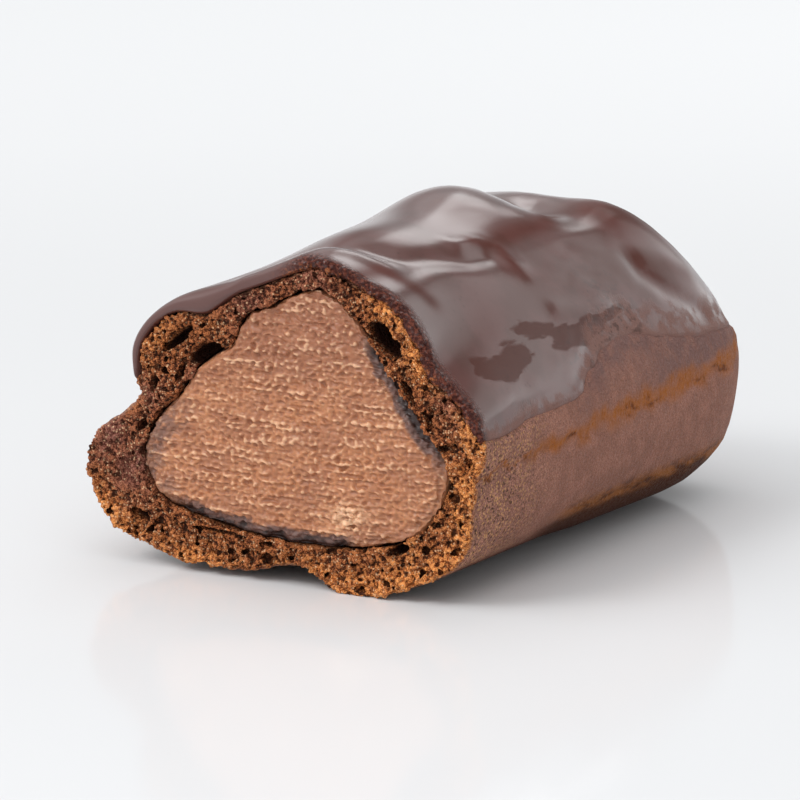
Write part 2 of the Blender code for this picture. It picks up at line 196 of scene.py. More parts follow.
# %% [markdown]
# The shell is choux pastry baked with cocoa. Steam blew it up, so its crumb is a sponge of bubbles,
# which the knife opened at the cut. A voxel remesh gives the copied solid small even faces to work
# on. The faces that nobody sees, inside the hollow and under the chocolate, are then thinned out,
# and those near the cut are divided once or twice more.

# %% Copy the shell with small even faces
SHELL_VOXEL = 0.60
crust = merged_copy("choux_shell", "choux_crust")
shell_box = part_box("choux_shell")
smooth_shell = BVHTree.FromObject(crust, bpy.context.evaluated_depsgraph_get())
apply_modifier(crust, "REMESH", mode="VOXEL", voxel_size=SHELL_VOXEL * MM)
print("crust faces after the remesh:", len(crust.data.polygons))


# %% Find the chocolate's lower edge
EDGE_SLICE = 2.0
coat_solid = np.array([v.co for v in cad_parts["chocolate_glaze"].data.vertices]) / MM


def edge_heights(y, side):
    """The height of the chocolate's lower edge on one side: its lowest point near each place."""
    on_side = coat_solid[coat_solid[:, 0] * side > 0]
    knots = np.arange(CUT_Y, on_side[:, 1].max(), EDGE_SLICE)
    lowest = [on_side[np.abs(on_side[:, 1] - knot) < EDGE_SLICE, 2].min() for knot in knots]
    return np.interp(y, knots, lowest)


def above_edge_of(points):
    """How far each point lies above the chocolate's lower edge, and negative below it."""
    x, y, z = np.asarray(points).T
    return z - np.where(x > 0, edge_heights(y, 1), edge_heights(y, -1))


print("chocolate's edge from", round(edge_heights(0.0, 1), 1), "mm up at the right")

# %% Widen the foot at the right
BASE_SPREAD = 0.8
x, y, z = points_of(crust).T
in_length = ease((y + 8) / 8) * ease((27 - y) / 8)
on_right = ease((x - 8) / 8)
low_down = 1 - ease((z - 0.5) / 5)
off_floor = ease(z / 0.3)
spread = points_of(crust)
spread[:, 0] += BASE_SPREAD * in_length * on_right * low_down * off_floor
place_points(crust, spread)
print("foot widened at", int((spread[:, 0] > x + 0.1).sum()), "points")

# %% [markdown]
# The skin and the chocolate meet with hardly a step, because the chocolate ran out thin as it set.
# So the skin is lifted a little along the chocolate's edge. Further up, under the chocolate, it is
# sunk instead, where nobody sees it, so that the crust never shows through the chocolate.

# %% Bring the skin flush with the chocolate's edge
SKIN_LIFT = 1.2
MIDDLE_END = 17
MIDDLE_HEIGHT = 12.0


def faces_inwards(piece):
    """Which points have normals that look towards the middle of the eclair."""
    points, normals = points_of(piece), normals_of(piece)
    middle = np.zeros_like(points)
    middle[:, 1] = np.minimum(points[:, 1], MIDDLE_END)
    middle[:, 2] = MIDDLE_HEIGHT
    return ((points - middle) * normals).sum(1) < 0


points, normals = points_of(crust), normals_of(crust)
above = above_edge_of(points)
skin = ~faces_inwards(crust) & ((np.abs(normals[:, 1]) < 0.6) | (points[:, 1] > 15))
lift = SKIN_LIFT * ease((above + 1.7) / 3.5) * (1 - ease((above + 0.2) / 1.2)) * skin
place_points(crust, points + normals * lift[:, None])
print("skin lifted by up to", round(lift.max(), 2), "mm")


# %% Sink the skin under the chocolate and thin out what is hidden
SKIN_SUNK = 0.5
AGAINST_CREAM = 0.7
HOLLOW_SHOWN = 2.2
HIDDEN_KEPT = 0.15


def solid_of(node):
    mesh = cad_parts[node].data
    points = [Vector(v.co) / MM for v in mesh.vertices]
    return points, [tuple(face.vertices) for face in mesh.polygons]


def in_hollow(points):
    """Which points lie on the inside of the shell, against the cream."""
    cream_solid = BVHTree.FromPolygons(*solid_of("cream_filling"))
    return np.array([cream_solid.find_nearest(Vector(p))[3] < AGAINST_CREAM for p in points])


def thin_out(piece, hidden, keep):
    """Keeps this share of the faces at the hidden points, and all the others."""
    group = weight_group(piece, "hidden", hidden.astype(float))
    share = hidden.mean()
    apply_modifier(piece, "DECIMATE", ratio=1 - share * (1 - keep), vertex_group=group)
    piece.vertex_groups.clear()


points = points_of(crust)
inside = in_hollow(points) & (points[:, 1] > CUT_Y + HOLLOW_SHOWN)
above_edge = above_edge_of(points)
under_coat = ease((above_edge - 2.0) / 2.0) * ease((points[:, 1] - CUT_Y - 1.5) / 3) * ~inside
press(crust, under_coat, -SKIN_SUNK)
thin_out(crust, inside | (under_coat > 0.9), HIDDEN_KEPT)
print("crust triangles after thinning:", triangles(crust))


# %% Divide the faces near the cut
FINE_DEPTH = 1.5
FINEST_DEPTH = 0.95


def divide_near_cut(piece, depth, cuts=1):
    """Divides the faces whose points all lie within this depth of the cut."""
    select_only(piece)
    near = points_of(piece)[:, 1] < CUT_Y + depth
    bpy.ops.object.mode_set(mode="EDIT")
    bpy.ops.mesh.select_mode(type="VERT")
    bpy.ops.mesh.select_all(action="DESELECT")
    bpy.ops.object.mode_set(mode="OBJECT")
    piece.data.vertices.foreach_set("select", near)
    bpy.ops.object.mode_set(mode="EDIT")
    bpy.ops.mesh.select_mode(type="FACE")
    bpy.ops.mesh.subdivide(number_cuts=cuts)
    bpy.ops.object.mode_set(mode="OBJECT")


divide_near_cut(crust, FINE_DEPTH)
divide_near_cut(crust, FINEST_DEPTH)
print("crust triangles after dividing:", triangles(crust))

# %% [markdown]
# The torn edge of the crumb is uneven on two scales. A broad pattern gives crags about a millimetre
# and a half wide, and a fine one gives the grit between them. Both fade out behind the cut, where
# the baked skin is whole.

# %% Tear the cut edge
CRAG_SIZE = (1.5, 1.5, 1.5)
CRAG_HEIGHT = 1.1
GRIT_SIZE = (0.42, 0.42, 0.42)
GRIT_HEIGHT = 0.5
crags = cloud_texture("crags", noise_scale=1.0, noise_depth=3)
grit = cloud_texture("grit", noise_scale=1.0, noise_depth=1)
behind_cut = points_of(crust)[:, 1] - CUT_Y
on_lobe = ease((-11 - points_of(crust)[:, 0]) / 4)
cragged = 1 - ease((behind_cut - 0.4) / (1.8 + 2.2 * on_lobe))
roughen(crust, cragged, crags, CRAG_SIZE, CRAG_HEIGHT, level=0.55)
behind_cut = points_of(crust)[:, 1] - CUT_Y
gritty = 1 - ease((behind_cut - 0.5) / 1.5)
roughen(crust, gritty, grit, GRIT_SIZE, GRIT_HEIGHT)
keep_in_box(crust)
print("torn points at the cut:", int((gritty > 0.5).sum()))

# %% [markdown]
# The bubbles are cut as a baker's steam made them: from the inside, as round hollows of many sizes
# that run into each other. One ball is modelled, and nine hundred squashed copies of it are strewn
# through the first millimetre and a bit behind the cut, wherever there is crumb. A few large holes,
# each with its own place, are joined to them. A remesh melts them all into one body, and a Boolean
# takes that body out of the crust.

# %% Strew the bubbles
BUBBLES_TRIED = 9000
BUBBLES = 900
BUBBLE_RADIUS = 0.22
BUBBLE_SPREAD = 0.45
BUBBLE_SMALLEST = 0.16
BUBBLE_LARGEST = 0.95
BUBBLE_REACH = 1.3
SKIN_LEFT = 0.22
WALL_SHARE = 0.85
LOBE_RIGHT = -14.5
LOBE_LOW = 6.0
LOBE_HIGH = 17.0
LOBE_SPARED = 0.85
rng = np.random.default_rng(5)


def in_crumb(tried):
    """The tried points that lie in the shell's wall, and how deep each lies. Few are on the lobe."""
    kept, depths = [], []
    for point in tried:
        probe = Vector((point[0], max(point[1], CUT_Y + 0.9), point[2])) * MM
        place, normal, _, gap = smooth_shell.find_nearest(probe)
        in_wall = (probe - place).dot(normal) < 0 and gap > SKIN_LEFT * MM
        on_lobe = point[0] < LOBE_RIGHT and LOBE_LOW < point[2] < LOBE_HIGH
        if in_wall and not (on_lobe and rng.random() < LOBE_SPARED):
            kept.append(point)
            depths.append(gap / MM)
    return np.array(kept)[:BUBBLES], np.array(depths)[:BUBBLES]


low, high = np.array(shell_box[0]) / MM, np.array(shell_box[1]) / MM
low[1], high[1] = CUT_Y - 0.1, CUT_Y + BUBBLE_REACH
middles, wall_depths = in_crumb(rng.uniform(low, high, (BUBBLES_TRIED, 3)))
radii = np.exp(rng.normal(math.log(BUBBLE_RADIUS), BUBBLE_SPREAD, len(middles)))
radii = radii.clip(BUBBLE_SMALLEST, BUBBLE_LARGEST)
radii = np.minimum(radii, 0.1 + WALL_SHARE * wall_depths)
print("bubbles:", len(middles), "largest radius", round(radii.max(), 2), "mm")


# %% Join the bubbles into one cutter
def strewn_balls(middles, radii):
    """One mesh of many balls, each squashed and turned in its own way."""
    bpy.ops.object.select_all(action="DESELECT")
    bpy.ops.mesh.primitive_ico_sphere_add(subdivisions=2, radius=1)
    ball = bpy.context.object
    round_points = np.array([v.co for v in ball.data.vertices])
    round_faces = np.array([face.vertices for face in ball.data.polygons])
    bpy.data.objects.remove(ball)
    all_points, all_faces = [], []
    for number, (middle, radius) in enumerate(zip(middles, radii)):
        squash = radius * rng.uniform(0.75, 1.3, 3)
        turn = np.linalg.qr(rng.normal(size=(3, 3)))[0]
        turn[:, 0] *= np.sign(np.linalg.det(turn))
        all_points.append((round_points * squash) @ turn.T + middle)
        all_faces.append(round_faces + len(round_points) * number)
    mesh = bpy.data.meshes.new("bubbles")
    mesh.from_pydata((np.concatenate(all_points) * MM).tolist(), [], np.concatenate(all_faces).tolist())
    balls = bpy.data.objects.new("bubbles", mesh)
    bpy.context.scene.collection.objects.link(balls)
    return balls


# %% Join the large holes and cut them all out
# The middle in X and Z, half the length and height, the turn in degrees and the depth, in mm.
HOLES = (
    (11.9, 25.2, 2.4, 1.0, -43, 3.6), (-11.6, 23.2, 2.5, 0.55, 38, 2.6),
    (-8.6, 22.0, 2.2, 0.9, 28, 3.2), (-11.2, 19.9, 1.2, 0.5, 70, 2.0),
    (14.5, 20.5, 1.5, 0.45, -55, 2.0), (16.8, 17.9, 1.0, 0.4, -58, 1.6),
    (18.3, 15.4, 0.6, 0.42, 0, 1.4), (19.0, 12.0, 0.8, 0.4, -75, 1.4),
    (13.5, 5.0, 1.3, 0.6, 25, 2.4), (9.5, 4.6, 0.5, 0.45, 0, 1.6),
    (5.8, 3.9, 1.1, 0.38, 3, 1.6), (-1.3, 3.8, 0.8, 0.35, 0, 1.4),
    (-6.8, 4.4, 3.4, 0.28, -4, 1.2), (-15.9, 14.2, 0.9, 0.5, 50, 1.8),
    (-16.2, 5.0, 1.2, 0.6, -30, 1.8), (-14.4, 18.6, 0.9, 0.5, 80, 1.8),
)
CUTTER_VOXEL = 0.2


def add_holes(balls):
    """Joins the few large holes, each stretched and turned, to the strewn bubbles."""
    bpy.ops.object.select_all(action="DESELECT")
    for x, z, half_long, half_high, turn, depth in HOLES:
        middle = (x * MM, CUT_Y * MM, z * MM)
        bpy.ops.mesh.primitive_ico_sphere_add(subdivisions=3, radius=1, location=middle)
        hole = bpy.context.object
        hole.scale = (half_long * MM, depth * MM, half_high * MM)
        hole.rotation_euler = (0, -math.radians(turn), 0)
        hole.select_set(True)
        balls.select_set(True)
        bpy.context.view_layer.objects.active = balls
        bpy.ops.object.join()


bubbles = strewn_balls(middles, radii)
add_holes(bubbles)
apply_modifier(bubbles, "REMESH", mode="VOXEL", voxel_size=CUTTER_VOXEL * MM)
apply_modifier(crust, "BOOLEAN", operation="DIFFERENCE", object=bubbles, solver="MANIFOLD")
bpy.data.objects.remove(bubbles)
print("crust triangles with bubbles:", triangles(crust))

# %% Break the bubble walls up into grit
FINE_GRIT_SIZE = (0.3, 0.3, 0.3)
FINE_GRIT_HEIGHT = 0.30
# The Boolean may leave slots behind, so every face goes back to the first one.
crust.data.materials.clear()
crust.data.polygons.foreach_set("material_index", np.zeros(len(crust.data.polygons), np.int32))
behind_cut = points_of(crust)[:, 1] - CUT_Y
torn = 1 - ease((behind_cut - 1.2) / 1.2)
roughen(crust, torn, grit, FINE_GRIT_SIZE, FINE_GRIT_HEIGHT)
keep_in_box(crust)
print("gritty points:", int((torn > 0.5).sum()))


# %% [markdown]
# The finish of the crust changes from place to place: open crumb or baked skin, ridge or pit,
# golden or dark. Each of these is worked out once from the shape and kept on the points. A pit is
# found by smoothing the mesh in memory: where the smoothed surface lies above the real one, the
# point is in a hollow. The crumb's finish paints the pits darker and the ridges lighter, as painted
# shade and painted highlight.

# %% Find ridges and pits
def edges_of(piece):
    flat = np.empty(2 * len(piece.data.edges), np.int32)
    piece.data.edges.foreach_get("vertices", flat)
    return flat.reshape(-1, 2)


def hollowness(piece, rounds):
    """How far each point lies below the smoothed mesh, in mm, and negative on a ridge."""
    points, edges = points_of(piece), edges_of(piece)
    count = len(points)
    a, b = edges.T
    share = np.bincount(a, minlength=count) + np.bincount(b, minlength=count)
    smooth = points.copy()
    for _ in range(rounds):
        mean = np.zeros_like(smooth)
        for axis in range(3):
            from_b = np.bincount(a, smooth[b, axis], count)
            from_a = np.bincount(b, smooth[a, axis], count)
            mean[:, axis] = from_b + from_a
        smooth = 0.4 * smooth + 0.6 * mean / np.maximum(share, 1)[:, None]
    return ((smooth - points) * normals_of(piece)).sum(1)


DEEP_IN_CRUMB = 0.16
hollow = hollowness(crust, 12)
store(crust, "hollow", np.clip(hollow / DEEP_IN_CRUMB, -1, 1))
print("pits in the crust:", int((hollow > DEEP_IN_CRUMB).sum()), "points")

# %% Tell crumb from skin
MIDDLE_ACROSS = 2.0
CRUMB_REACH = 5


def outward(x, z):
    """The way from the middle of the eclair to each point, straight across the eclair."""
    way = np.column_stack([x - MIDDLE_ACROSS, np.zeros(len(x)), z - MIDDLE_HEIGHT])
    return way / np.maximum(np.linalg.norm(way, axis=1), 1e-6)[:, None]


def covered(points):
    """Which points have more of the shell beyond them, seen from the middle of the eclair."""
    ways = outward(points[:, 0], points[:, 2])
    starts = (points + 0.35 * ways) * MM
    hits = [smooth_shell.ray_cast(Vector(a), Vector(b))[0] for a, b in zip(starts, ways)]
    return np.array([hit is not None for hit in hits])


def carved_depth(piece):
    """How far each point lies inside the smooth shell it was carved from, and 0 outside it."""
    depths = []
    for vertex in piece.data.vertices:
        place, normal, _, gap = smooth_shell.find_nearest(vertex.co)
        depths.append(gap / MM if (vertex.co - place).dot(normal) < 0 else 0.0)
    return np.array(depths)


x, y, z = points_of(crust).T
depth = y - CUT_Y
carved = carved_depth(crust)
near_cut = depth < CRUMB_REACH
within = np.zeros(len(x), bool)
within[near_cut] = covered(points_of(crust)[near_cut])
open_crumb = np.maximum(1 - ease((depth - 0.5) / 0.7), ease((carved - 0.1) / 0.15) * near_cut)
open_crumb = np.maximum(open_crumb, within & near_cut)
store(crust, "crumb", open_crumb)
# Deep inside the holes the crumb is painted darker: painted shade.
store(crust, "deep", open_crumb * ease((depth - 0.55) / 1.2))
store(crust, "near", 1 - ease((depth - 1) / 21))
print("open crumb on", int((open_crumb > 0.5).sum()), "of", len(x), "points")

# %% Tell golden crumb from dark, and dry from soaked
# Each place has its middle in X and Z, its reach in mm and its strength.
GOLDEN = (
    (21.5, 10.0, 5.5, 1.4), (19.5, 3.0, 5.0, 1.4), (22.0, 17.5, 3.0, 0.8), (16.5, 24.5, 3.5, 0.9),
    (9.0, 0.0, 4.5, 1.4), (0.0, 1.0, 4.0, 0.35), (-10.0, 1.5, 4.5, 0.8), (-19.5, 4.5, 3.5, 1.3),
    (-13.5, 22.5, 3.2, 0.4), (-7.0, 23.5, 2.0, 0.3), (12.5, 28.0, 2.6, 0.8), (-17.0, 17.5, 1.5, 0.6),
    (15.0, 3.0, 5.0, 2.0), (5.5, 1.5, 3.5, 0.9), (-4.5, 2.0, 3.5, 0.3),
)
SOAKED = (
    (-20.0, 13.0, 3.6, 1.0), (-17.0, 10.0, 3.4, 1.0), (-15.0, 17.5, 2.0, 0.7), (-9.5, 19.5, 1.6, 0.7),
    (-3.0, 28.0, 3.5, 0.7), (4.0, 31.0, 4.0, 0.7), (19.5, 19.5, 2.2, 0.6),
)


def spots(x, z, places):
    """How strongly each point lies in one of the places, most in their middles."""
    total = np.zeros(len(x))
    for cx, cz, reach, strength in places:
        near = np.exp(-((x - cx) ** 2 + (z - cz) ** 2) / reach**2)
        total = np.maximum(total, strength * near)
    return total


def flat_distance(marks, points):
    """How far each point is from the nearest mark, in X and Z."""
    tree = KDTree(len(marks))
    for number, (px, _, pz) in enumerate(marks):
        tree.insert((px, 0, pz), number)
    tree.balance()
    return np.array([tree.find((px, 0, pz))[2] for px, _, pz in points])


outer = (depth > 1.5) & (depth < 4) & ~within
rind = flat_distance(points_of(crust)[outer], points_of(crust))
toasted = spots(x, z, GOLDEN) * (0.25 + 0.75 * (1 - ease((rind - 0.5) / 2.2)))
store(crust, "golden", toasted)
store(crust, "soaked", spots(x, z, SOAKED))
print("outer skin points near the cut:", int(outer.sum()))

# %% Mark the split, the veil, the baked foot and the painted contact shadow
# The height of the split at some places along each side, as Y and Z.
SPLIT_RIGHT = ((-31.5, 12.6), (-18.0, 13.3), (-2.0, 14.3), (8.0, 14.7), (24.0, 15.2), (31.5, 17.5))
SPLIT_LEFT = ((-31.5, 15.6), (-24.0, 15.0), (-8.0, 14.6), (24.0, 14.7), (31.5, 15.5))


def height_along(line, y):
    knots, heights = zip(*line)
    return np.interp(y, knots, heights)


split = np.where(x > 0, height_along(SPLIT_RIGHT, y), height_along(SPLIT_LEFT, y))
above_split = z - split
above_edge = above_edge_of(points_of(crust))
far_veil = ease((y + 6) / 18) * ease((above_split - 0.3) / 1.5)
edge_veil = ease((above_edge + 3.5) / 3.2) * ease((y + 14) / 9) * ease((above_split - 0.3) / 1.0)
# Near the floor, and low behind the cut, the skin gets a painted contact shadow.
contact_shadow = (1 - ease((z - 4.0) / 1.2)) * ease((y + 20) / 12)
store(crust, "split", above_split)
store(crust, "veil", np.maximum(far_veil, edge_veil))
store(crust, "foot", (1 - ease((z - 5.4) / 1.8)) * ease((y + 16) / 9))
store(crust, "contact_shadow", np.maximum(contact_shadow, (1 - ease((z - 2.0) / 2.0)) * ease((depth - 0.5) / 3)))
select_only(crust)
bpy.ops.object.shade_smooth()
print("numbers kept on the crust:", len(crust.data.attributes))

# %% [markdown]
# The cream is a firm chocolate cream that the knife dragged sideways. It shows long low ridges
# across the cut, beads and torn marks between them, and one crumpled lump low on the right. Its cut
# face is set back a little, so that the marks have room, and divided finely. The rest of it is
# hidden in the shell and stays coarse.

# %% Copy the cream and divide its cut face
CREAM_VOXEL = 0.6
CREAM_SWELL = 0.27
CREAM_SHOWN = 2.0
CREAM_KEPT = 0.2
cream = merged_copy("cream_filling", "cocoa_cream")
press(cream, np.ones(len(cream.data.vertices)), CREAM_SWELL)
keep_in_box(cream)
apply_modifier(cream, "REMESH", mode="VOXEL", voxel_size=CREAM_VOXEL * MM)
thin_out(cream, points_of(cream)[:, 1] > CUT_Y + CREAM_SHOWN, CREAM_KEPT)
divide_near_cut(cream, 0.9, cuts=2)
divide_near_cut(cream, 0.35)
print("cream triangles:", triangles(cream))


# %% Measure how far each point of the cream is from its rim
MARKS_ON_LINE = 8


def cut_outline(node):
    """The outline of the node's cut face, as short lines in X and Z."""
    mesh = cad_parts[node].data
    used = {}
    for face in mesh.polygons:
        if face.normal.y > -0.99 or face.center.y > (CUT_Y + 0.1) * MM:
            continue
        for start, end in zip(face.vertices, [*face.vertices[1:], face.vertices[0]]):
            a = tuple(round(v / MM, 2) for v in mesh.vertices[start].co.xz)
            b = tuple(round(v / MM, 2) for v in mesh.vertices[end].co.xz)
            key = (min(a, b), max(a, b))
            used[key] = used.get(key, 0) + 1
    return np.array([key for key, count in used.items() if count == 1])


def outline_marks(node):
    """Points set close together along the outline of the node's cut face."""
    marks = []
    for a, b in cut_outline(node):
        for step in range(MARKS_ON_LINE):
            px, pz = a + (b - a) * step / MARKS_ON_LINE
            marks.append((px, 0, pz))
    return marks


rim = flat_distance(outline_marks("cream_filling"), points_of(cream))
hidden_flank = points_of(cream)[:, 1] > CUT_Y + 1.3
store(cream, "rim", np.where(hidden_flank, 0, rim))
print("cream rim distance up to", round(rim.max(), 1), "mm")

# %% Set the cream's face back, and further along its damp rim
CREAM_BACK = 0.42
DAMP_BACK = 0.45
x, y, z = points_of(cream).T
facing = (y < CUT_Y + 0.5) * ease(rim / 0.5)
# The angle runs round the face from its right side, in radians.
angle = np.arctan2(z - 12.0, x - 4.0)
damp = ease((1.25 - angle) / 0.2) * ease((angle + 2.95) / 0.2)
damp *= 1 - 0.85 * ease((angle + 1.15) / 0.25) * ease((0.25 - angle) / 0.25)
smear = 0.75 * np.maximum(ease((angle - 2.75) / 0.2), ease((-2.8 - angle) / 0.2))
moved = points_of(cream)
moved[:, 1] += CREAM_BACK * (1 - ease((y - CUT_Y) / 2.0))
moved[:, 1] += DAMP_BACK * damp * (1 - ease(rim / 1.4)) * (y < CUT_Y + 0.9)
place_points(cream, moved)
store(cream, "damp", np.maximum(damp, y > CUT_Y + 1.3))
store(cream, "smear", smear)
# The upper part of the cream is painted darker: painted shade.
store(cream, "top_shade", ease((z - 17) / 8))
print("cream set back by up to", round((moved[:, 1] - y).max(), 2), "mm")

# %% Drag the knife across the cream
drag_marks = cloud_texture("drag marks", noise_scale=1.0, noise_depth=1)
torn_marks = cloud_texture("torn marks", noise_scale=1.0, noise_depth=2, noise_type="HARD_NOISE")
ridges = cloud_texture("ridges", noise_scale=1.0, noise_depth=0, contrast=4.0, intensity=0.04)
beads = cloud_texture("beads", noise_scale=1.0, noise_depth=0, contrast=4.0, intensity=0.0)
at_rim = (1 - ease((rim - 0.2) / 0.9)) * (y < CUT_Y + 1.4)
roughen(cream, at_rim, crags, (2.0, 2.0, 2.0), 0.9, level=0.6)
roughen(cream, facing, crags, (4.0, 4.0, 2.6), 0.35)
roughen(cream, facing, drag_marks, (7.0, 3.0, 0.8), 0.10)
roughen(cream, facing, torn_marks, (1.3, 1.1, 0.7), 0.12)
flat = points_of(cream)[:, 1]
roughen(cream, facing, ridges, (5.5, 3.0, 0.27), 0.085, level=0)
roughen(cream, facing, beads, (0.50, 0.50, 0.38), 0.12, level=0)
raised = flat - points_of(cream)[:, 1]
print("cream marks stand out by up to", round(raised.max(), 2), "mm")

# %% Crumple the lump
LUMP_X = 8.0
LUMP_Z = 7.6
LUMP_WIDE = 1.9
LUMP_HIGH = 0.6 * LUMP_WIDE
MARK_RAISED = 0.09
DEEP_IN_CREAM = 0.05
lump = facing * np.exp(-(((x - LUMP_X) / LUMP_WIDE) ** 2) - ((z - LUMP_Z) / LUMP_HIGH) ** 2)
press(cream, lump, 0.18)
roughen(cream, lump, torn_marks, (1.3, 1.0, 0.45), 1.1, turn=0.4, level=0.30)
store(cream, "raised", np.clip(raised / MARK_RAISED, 0, 1))
store(cream, "lump", lump)
keep_in_box(cream)
store(cream, "hollow", np.clip(hollowness(cream, 8) / DEEP_IN_CREAM, -1, 1))
select_only(cream)
bpy.ops.object.shade_smooth()
print("numbers kept on the cream:", len(cream.data.attributes))

# %% [markdown]
# The coat is melted chocolate that was poured on warm and set while it still flowed. It is one
# smooth skin with soft waves and a few folds where it ran and stopped. The copied solid has quads
# enough to be smoothed by a Subdivision Surface. Its underside is first let down onto the shell, so
# that no gap shows at the cut.

# %% Copy the chocolate and let it down onto the shell
SETTLE = 0.34
coat = merged_copy("chocolate_glaze", "chocolate_coat")
bpy.ops.object.mode_set(mode="EDIT")
bpy.ops.mesh.select_all(action="SELECT")
bpy.ops.mesh.tris_convert_to_quads(face_threshold=math.pi, shape_threshold=math.pi)
bpy.ops.object.mode_set(mode="OBJECT")
press(coat, faces_inwards(coat).astype(float), SETTLE)
apply_modifier(coat, "SUBSURF", levels=2, render_levels=2)
print("coat triangles:", triangles(coat))

# %% [markdown]
# The folds are few and each has its own place, so each is a line of points on the coat with a width
# and a height. Points near the line are lifted or sunk, most at the line and less away from it.
# Flowing chocolate turns slopes into bright and dark bands, so a fold of a third of a millimetre is
# plain to see.

# %% Fold the chocolate
# Each fold has its line of points, its width and its height, in mm.
FOLDS = (
    (((-3.3, -31.0, 29.3), (1.8, -30.5, 31.4), (3.4, -28.3, 32.6), (5.3, -26.3, 32.4),
      (8.9, -25.7, 31.2)), 1.6, 0.35),
    (((4.0, -24.5, 33.0), (8.4, -21.5, 31.5), (9.9, -16.8, 31.2), (10.5, -13.8, 30.6),
      (10.7, -8.5, 30.5)), 1.8, -0.35),
    (((9.0, -11.8, 31.4), (9.4, -7.9, 31.2), (10.8, -6.5, 30.4), (12.4, -7.1, 29.4)), 1.5, 0.32),
    (((17.7, -6.8, 25.0), (18.3, -2.5, 24.3), (18.6, 2.0, 24.1)), 1.2, 0.22),
    (((16.2, 12.7, 27.1), (17.2, 12.4, 26.0), (18.8, 14.6, 24.2), (19.9, 17.7, 22.5),
      (20.7, 20.5, 20.8)), 1.4, -0.4),
)


def line_distance(points, line):
    """Distance of each point to a bent line."""
    nearest = np.full(len(points), 1e9)
    for start, end in zip(line, line[1:]):
        start, end = np.array(start), np.array(end)
        way = end - start
        share = np.clip((points - start) @ way / (way @ way), 0, 1)
        nearest = np.minimum(nearest, np.linalg.norm(points - start - share[:, None] * way, axis=1))
    return nearest


def near_line(points, line, width):
    """1 on the line, falling softly to nothing a few widths away."""
    return np.exp(-((line_distance(points, line) / width) ** 2))


waves = cloud_texture("waves", noise_scale=1.0, noise_depth=0)
outside = ~faces_inwards(coat)
for line, width, height in FOLDS:
    press(coat, near_line(points_of(coat), line, width) * outside, height)
roughen(coat, outside.astype(float), waves, (7.0, 9.0, 7.0), 0.14)
roughen(coat, outside * ease((points_of(coat)[:, 1] + 6) / 6), waves, (1.6, 2.2, 1.6), 0.05)
print("folds in the coat:", len(FOLDS))

# %% [markdown]
# At the far end the chocolate dried thin and was scuffed, and its lower edge ran out to almost
# nothing. At the cut the knife tore it. On the right, where the crumb clung to it, the lip is as
# ragged as the crumb, and on the left it stayed whole.

# %% Scuff the coat where it dried thin
# Each spot has its middle in Y and Z, its reach in mm and its strength.
SCUFFED = ((3.0, 21.5, 5.5, 1.0), (-8.0, 19.5, 4.0, 0.7), (-21.0, 17.5, 5.0, 0.4))
x, y, z = points_of(coat).T
scuffed = spots(y, z, SCUFFED) * (x > 5) * outside
roughen(coat, scuffed, crags, (1.4, 1.9, 0.9), 0.34)
store(coat, "scuffed", scuffed)
print("scuffed points:", int((scuffed > 0.5).sum()))

# %% Thin the coat's lower edge
EDGE_LOWERED = 0.45
above = above_edge_of(points_of(coat))
whole_lip = (points_of(coat)[:, 0] < 0) & (points_of(coat)[:, 1] < CUT_Y + 5)
at_edge = (1 - ease(above / 1.0)) * outside * ~whole_lip
press(coat, at_edge, -EDGE_LOWERED)
keep_in_box(coat)
print("points on the thinned edge:", int((at_edge > 0.5).sum()))

# %% Tear the cut lip on the right
LIP_CRAG_HEIGHT = 1.3
LIP_GRIT_HEIGHT = 0.42
divide_near_cut(coat, 0.9)
x, y, z = points_of(coat).T
outer = ~faces_inwards(coat) & (y > CUT_Y + 0.5) & (y < CUT_Y + 2.0)
lip = y < CUT_Y + 1.5
rind = np.zeros(len(x))
rind[lip] = flat_distance(points_of(coat)[outer], points_of(coat)[lip])
store(coat, "rind", rind)
torn = (1 - ease((y - CUT_Y - 0.15) / 0.8)) * ease((x - 1) / 3)
roughen(coat, torn, crags, (1.6, 1.6, 1.6), LIP_CRAG_HEIGHT)
roughen(coat, torn, grit, (0.35, 0.35, 0.35), LIP_GRIT_HEIGHT)
keep_in_box(coat)
print("coat triangles with the lip:", triangles(coat))

# %% Mark the dull patches
# The outline of each patch, as Y and Z on the right side of the coat.
PATCHES = (
    ((-25.8, 23.1), (-21.6, 23.0), (-19.1, 23.7), (-16.2, 23.4), (-15.3, 22.3), (-17.8, 21.2),
     (-21.9, 20.5), (-24.8, 20.9), (-26.6, 22.0)),
    ((-17.2, 24.8), (-14.0, 25.0), (-10.5, 24.1), (-5.7, 23.6), (-0.5, 24.0), (3.5, 23.9),
     (5.4, 23.3), (0.1, 22.8), (-0.4, 21.9), (-4.9, 21.2), (-8.8, 21.5), (-11.8, 22.2),
     (-10.6, 22.9), (-14.1, 23.3), (-16.3, 23.9)),
)


def inside_outline(y, z, outline):
    """How far inside the outline each point lies, in mm, and negative outside it."""
    nearest = np.full(len(y), 1e9)
    within = np.zeros(len(y), bool)
    for (y0, z0), (y1, z1) in zip(outline, [*outline[1:], outline[0]]):
        length = math.hypot(y1 - y0, z1 - z0)
        share = np.clip(((y - y0) * (y1 - y0) + (z - z0) * (z1 - z0)) / length**2, 0, 1)
        off_y, off_z = y - y0 - share * (y1 - y0), z - z0 - share * (z1 - z0)
        nearest = np.minimum(nearest, np.hypot(off_y, off_z))
        crosses = (z0 > z) != (z1 > z)
        within ^= crosses & (y < y0 + (z - z0) * (y1 - y0) / (z1 - z0 or 1e-9))
    return np.where(within, nearest, -nearest)


x, y, z = points_of(coat).T
patch = np.max([inside_outline(y, z, outline) for outline in PATCHES], axis=0)
patch = np.where(x > 8, patch, -1).clip(-1, 1)
store(coat, "patch", patch)
print("points in the patches:", int((patch > 0).sum()))

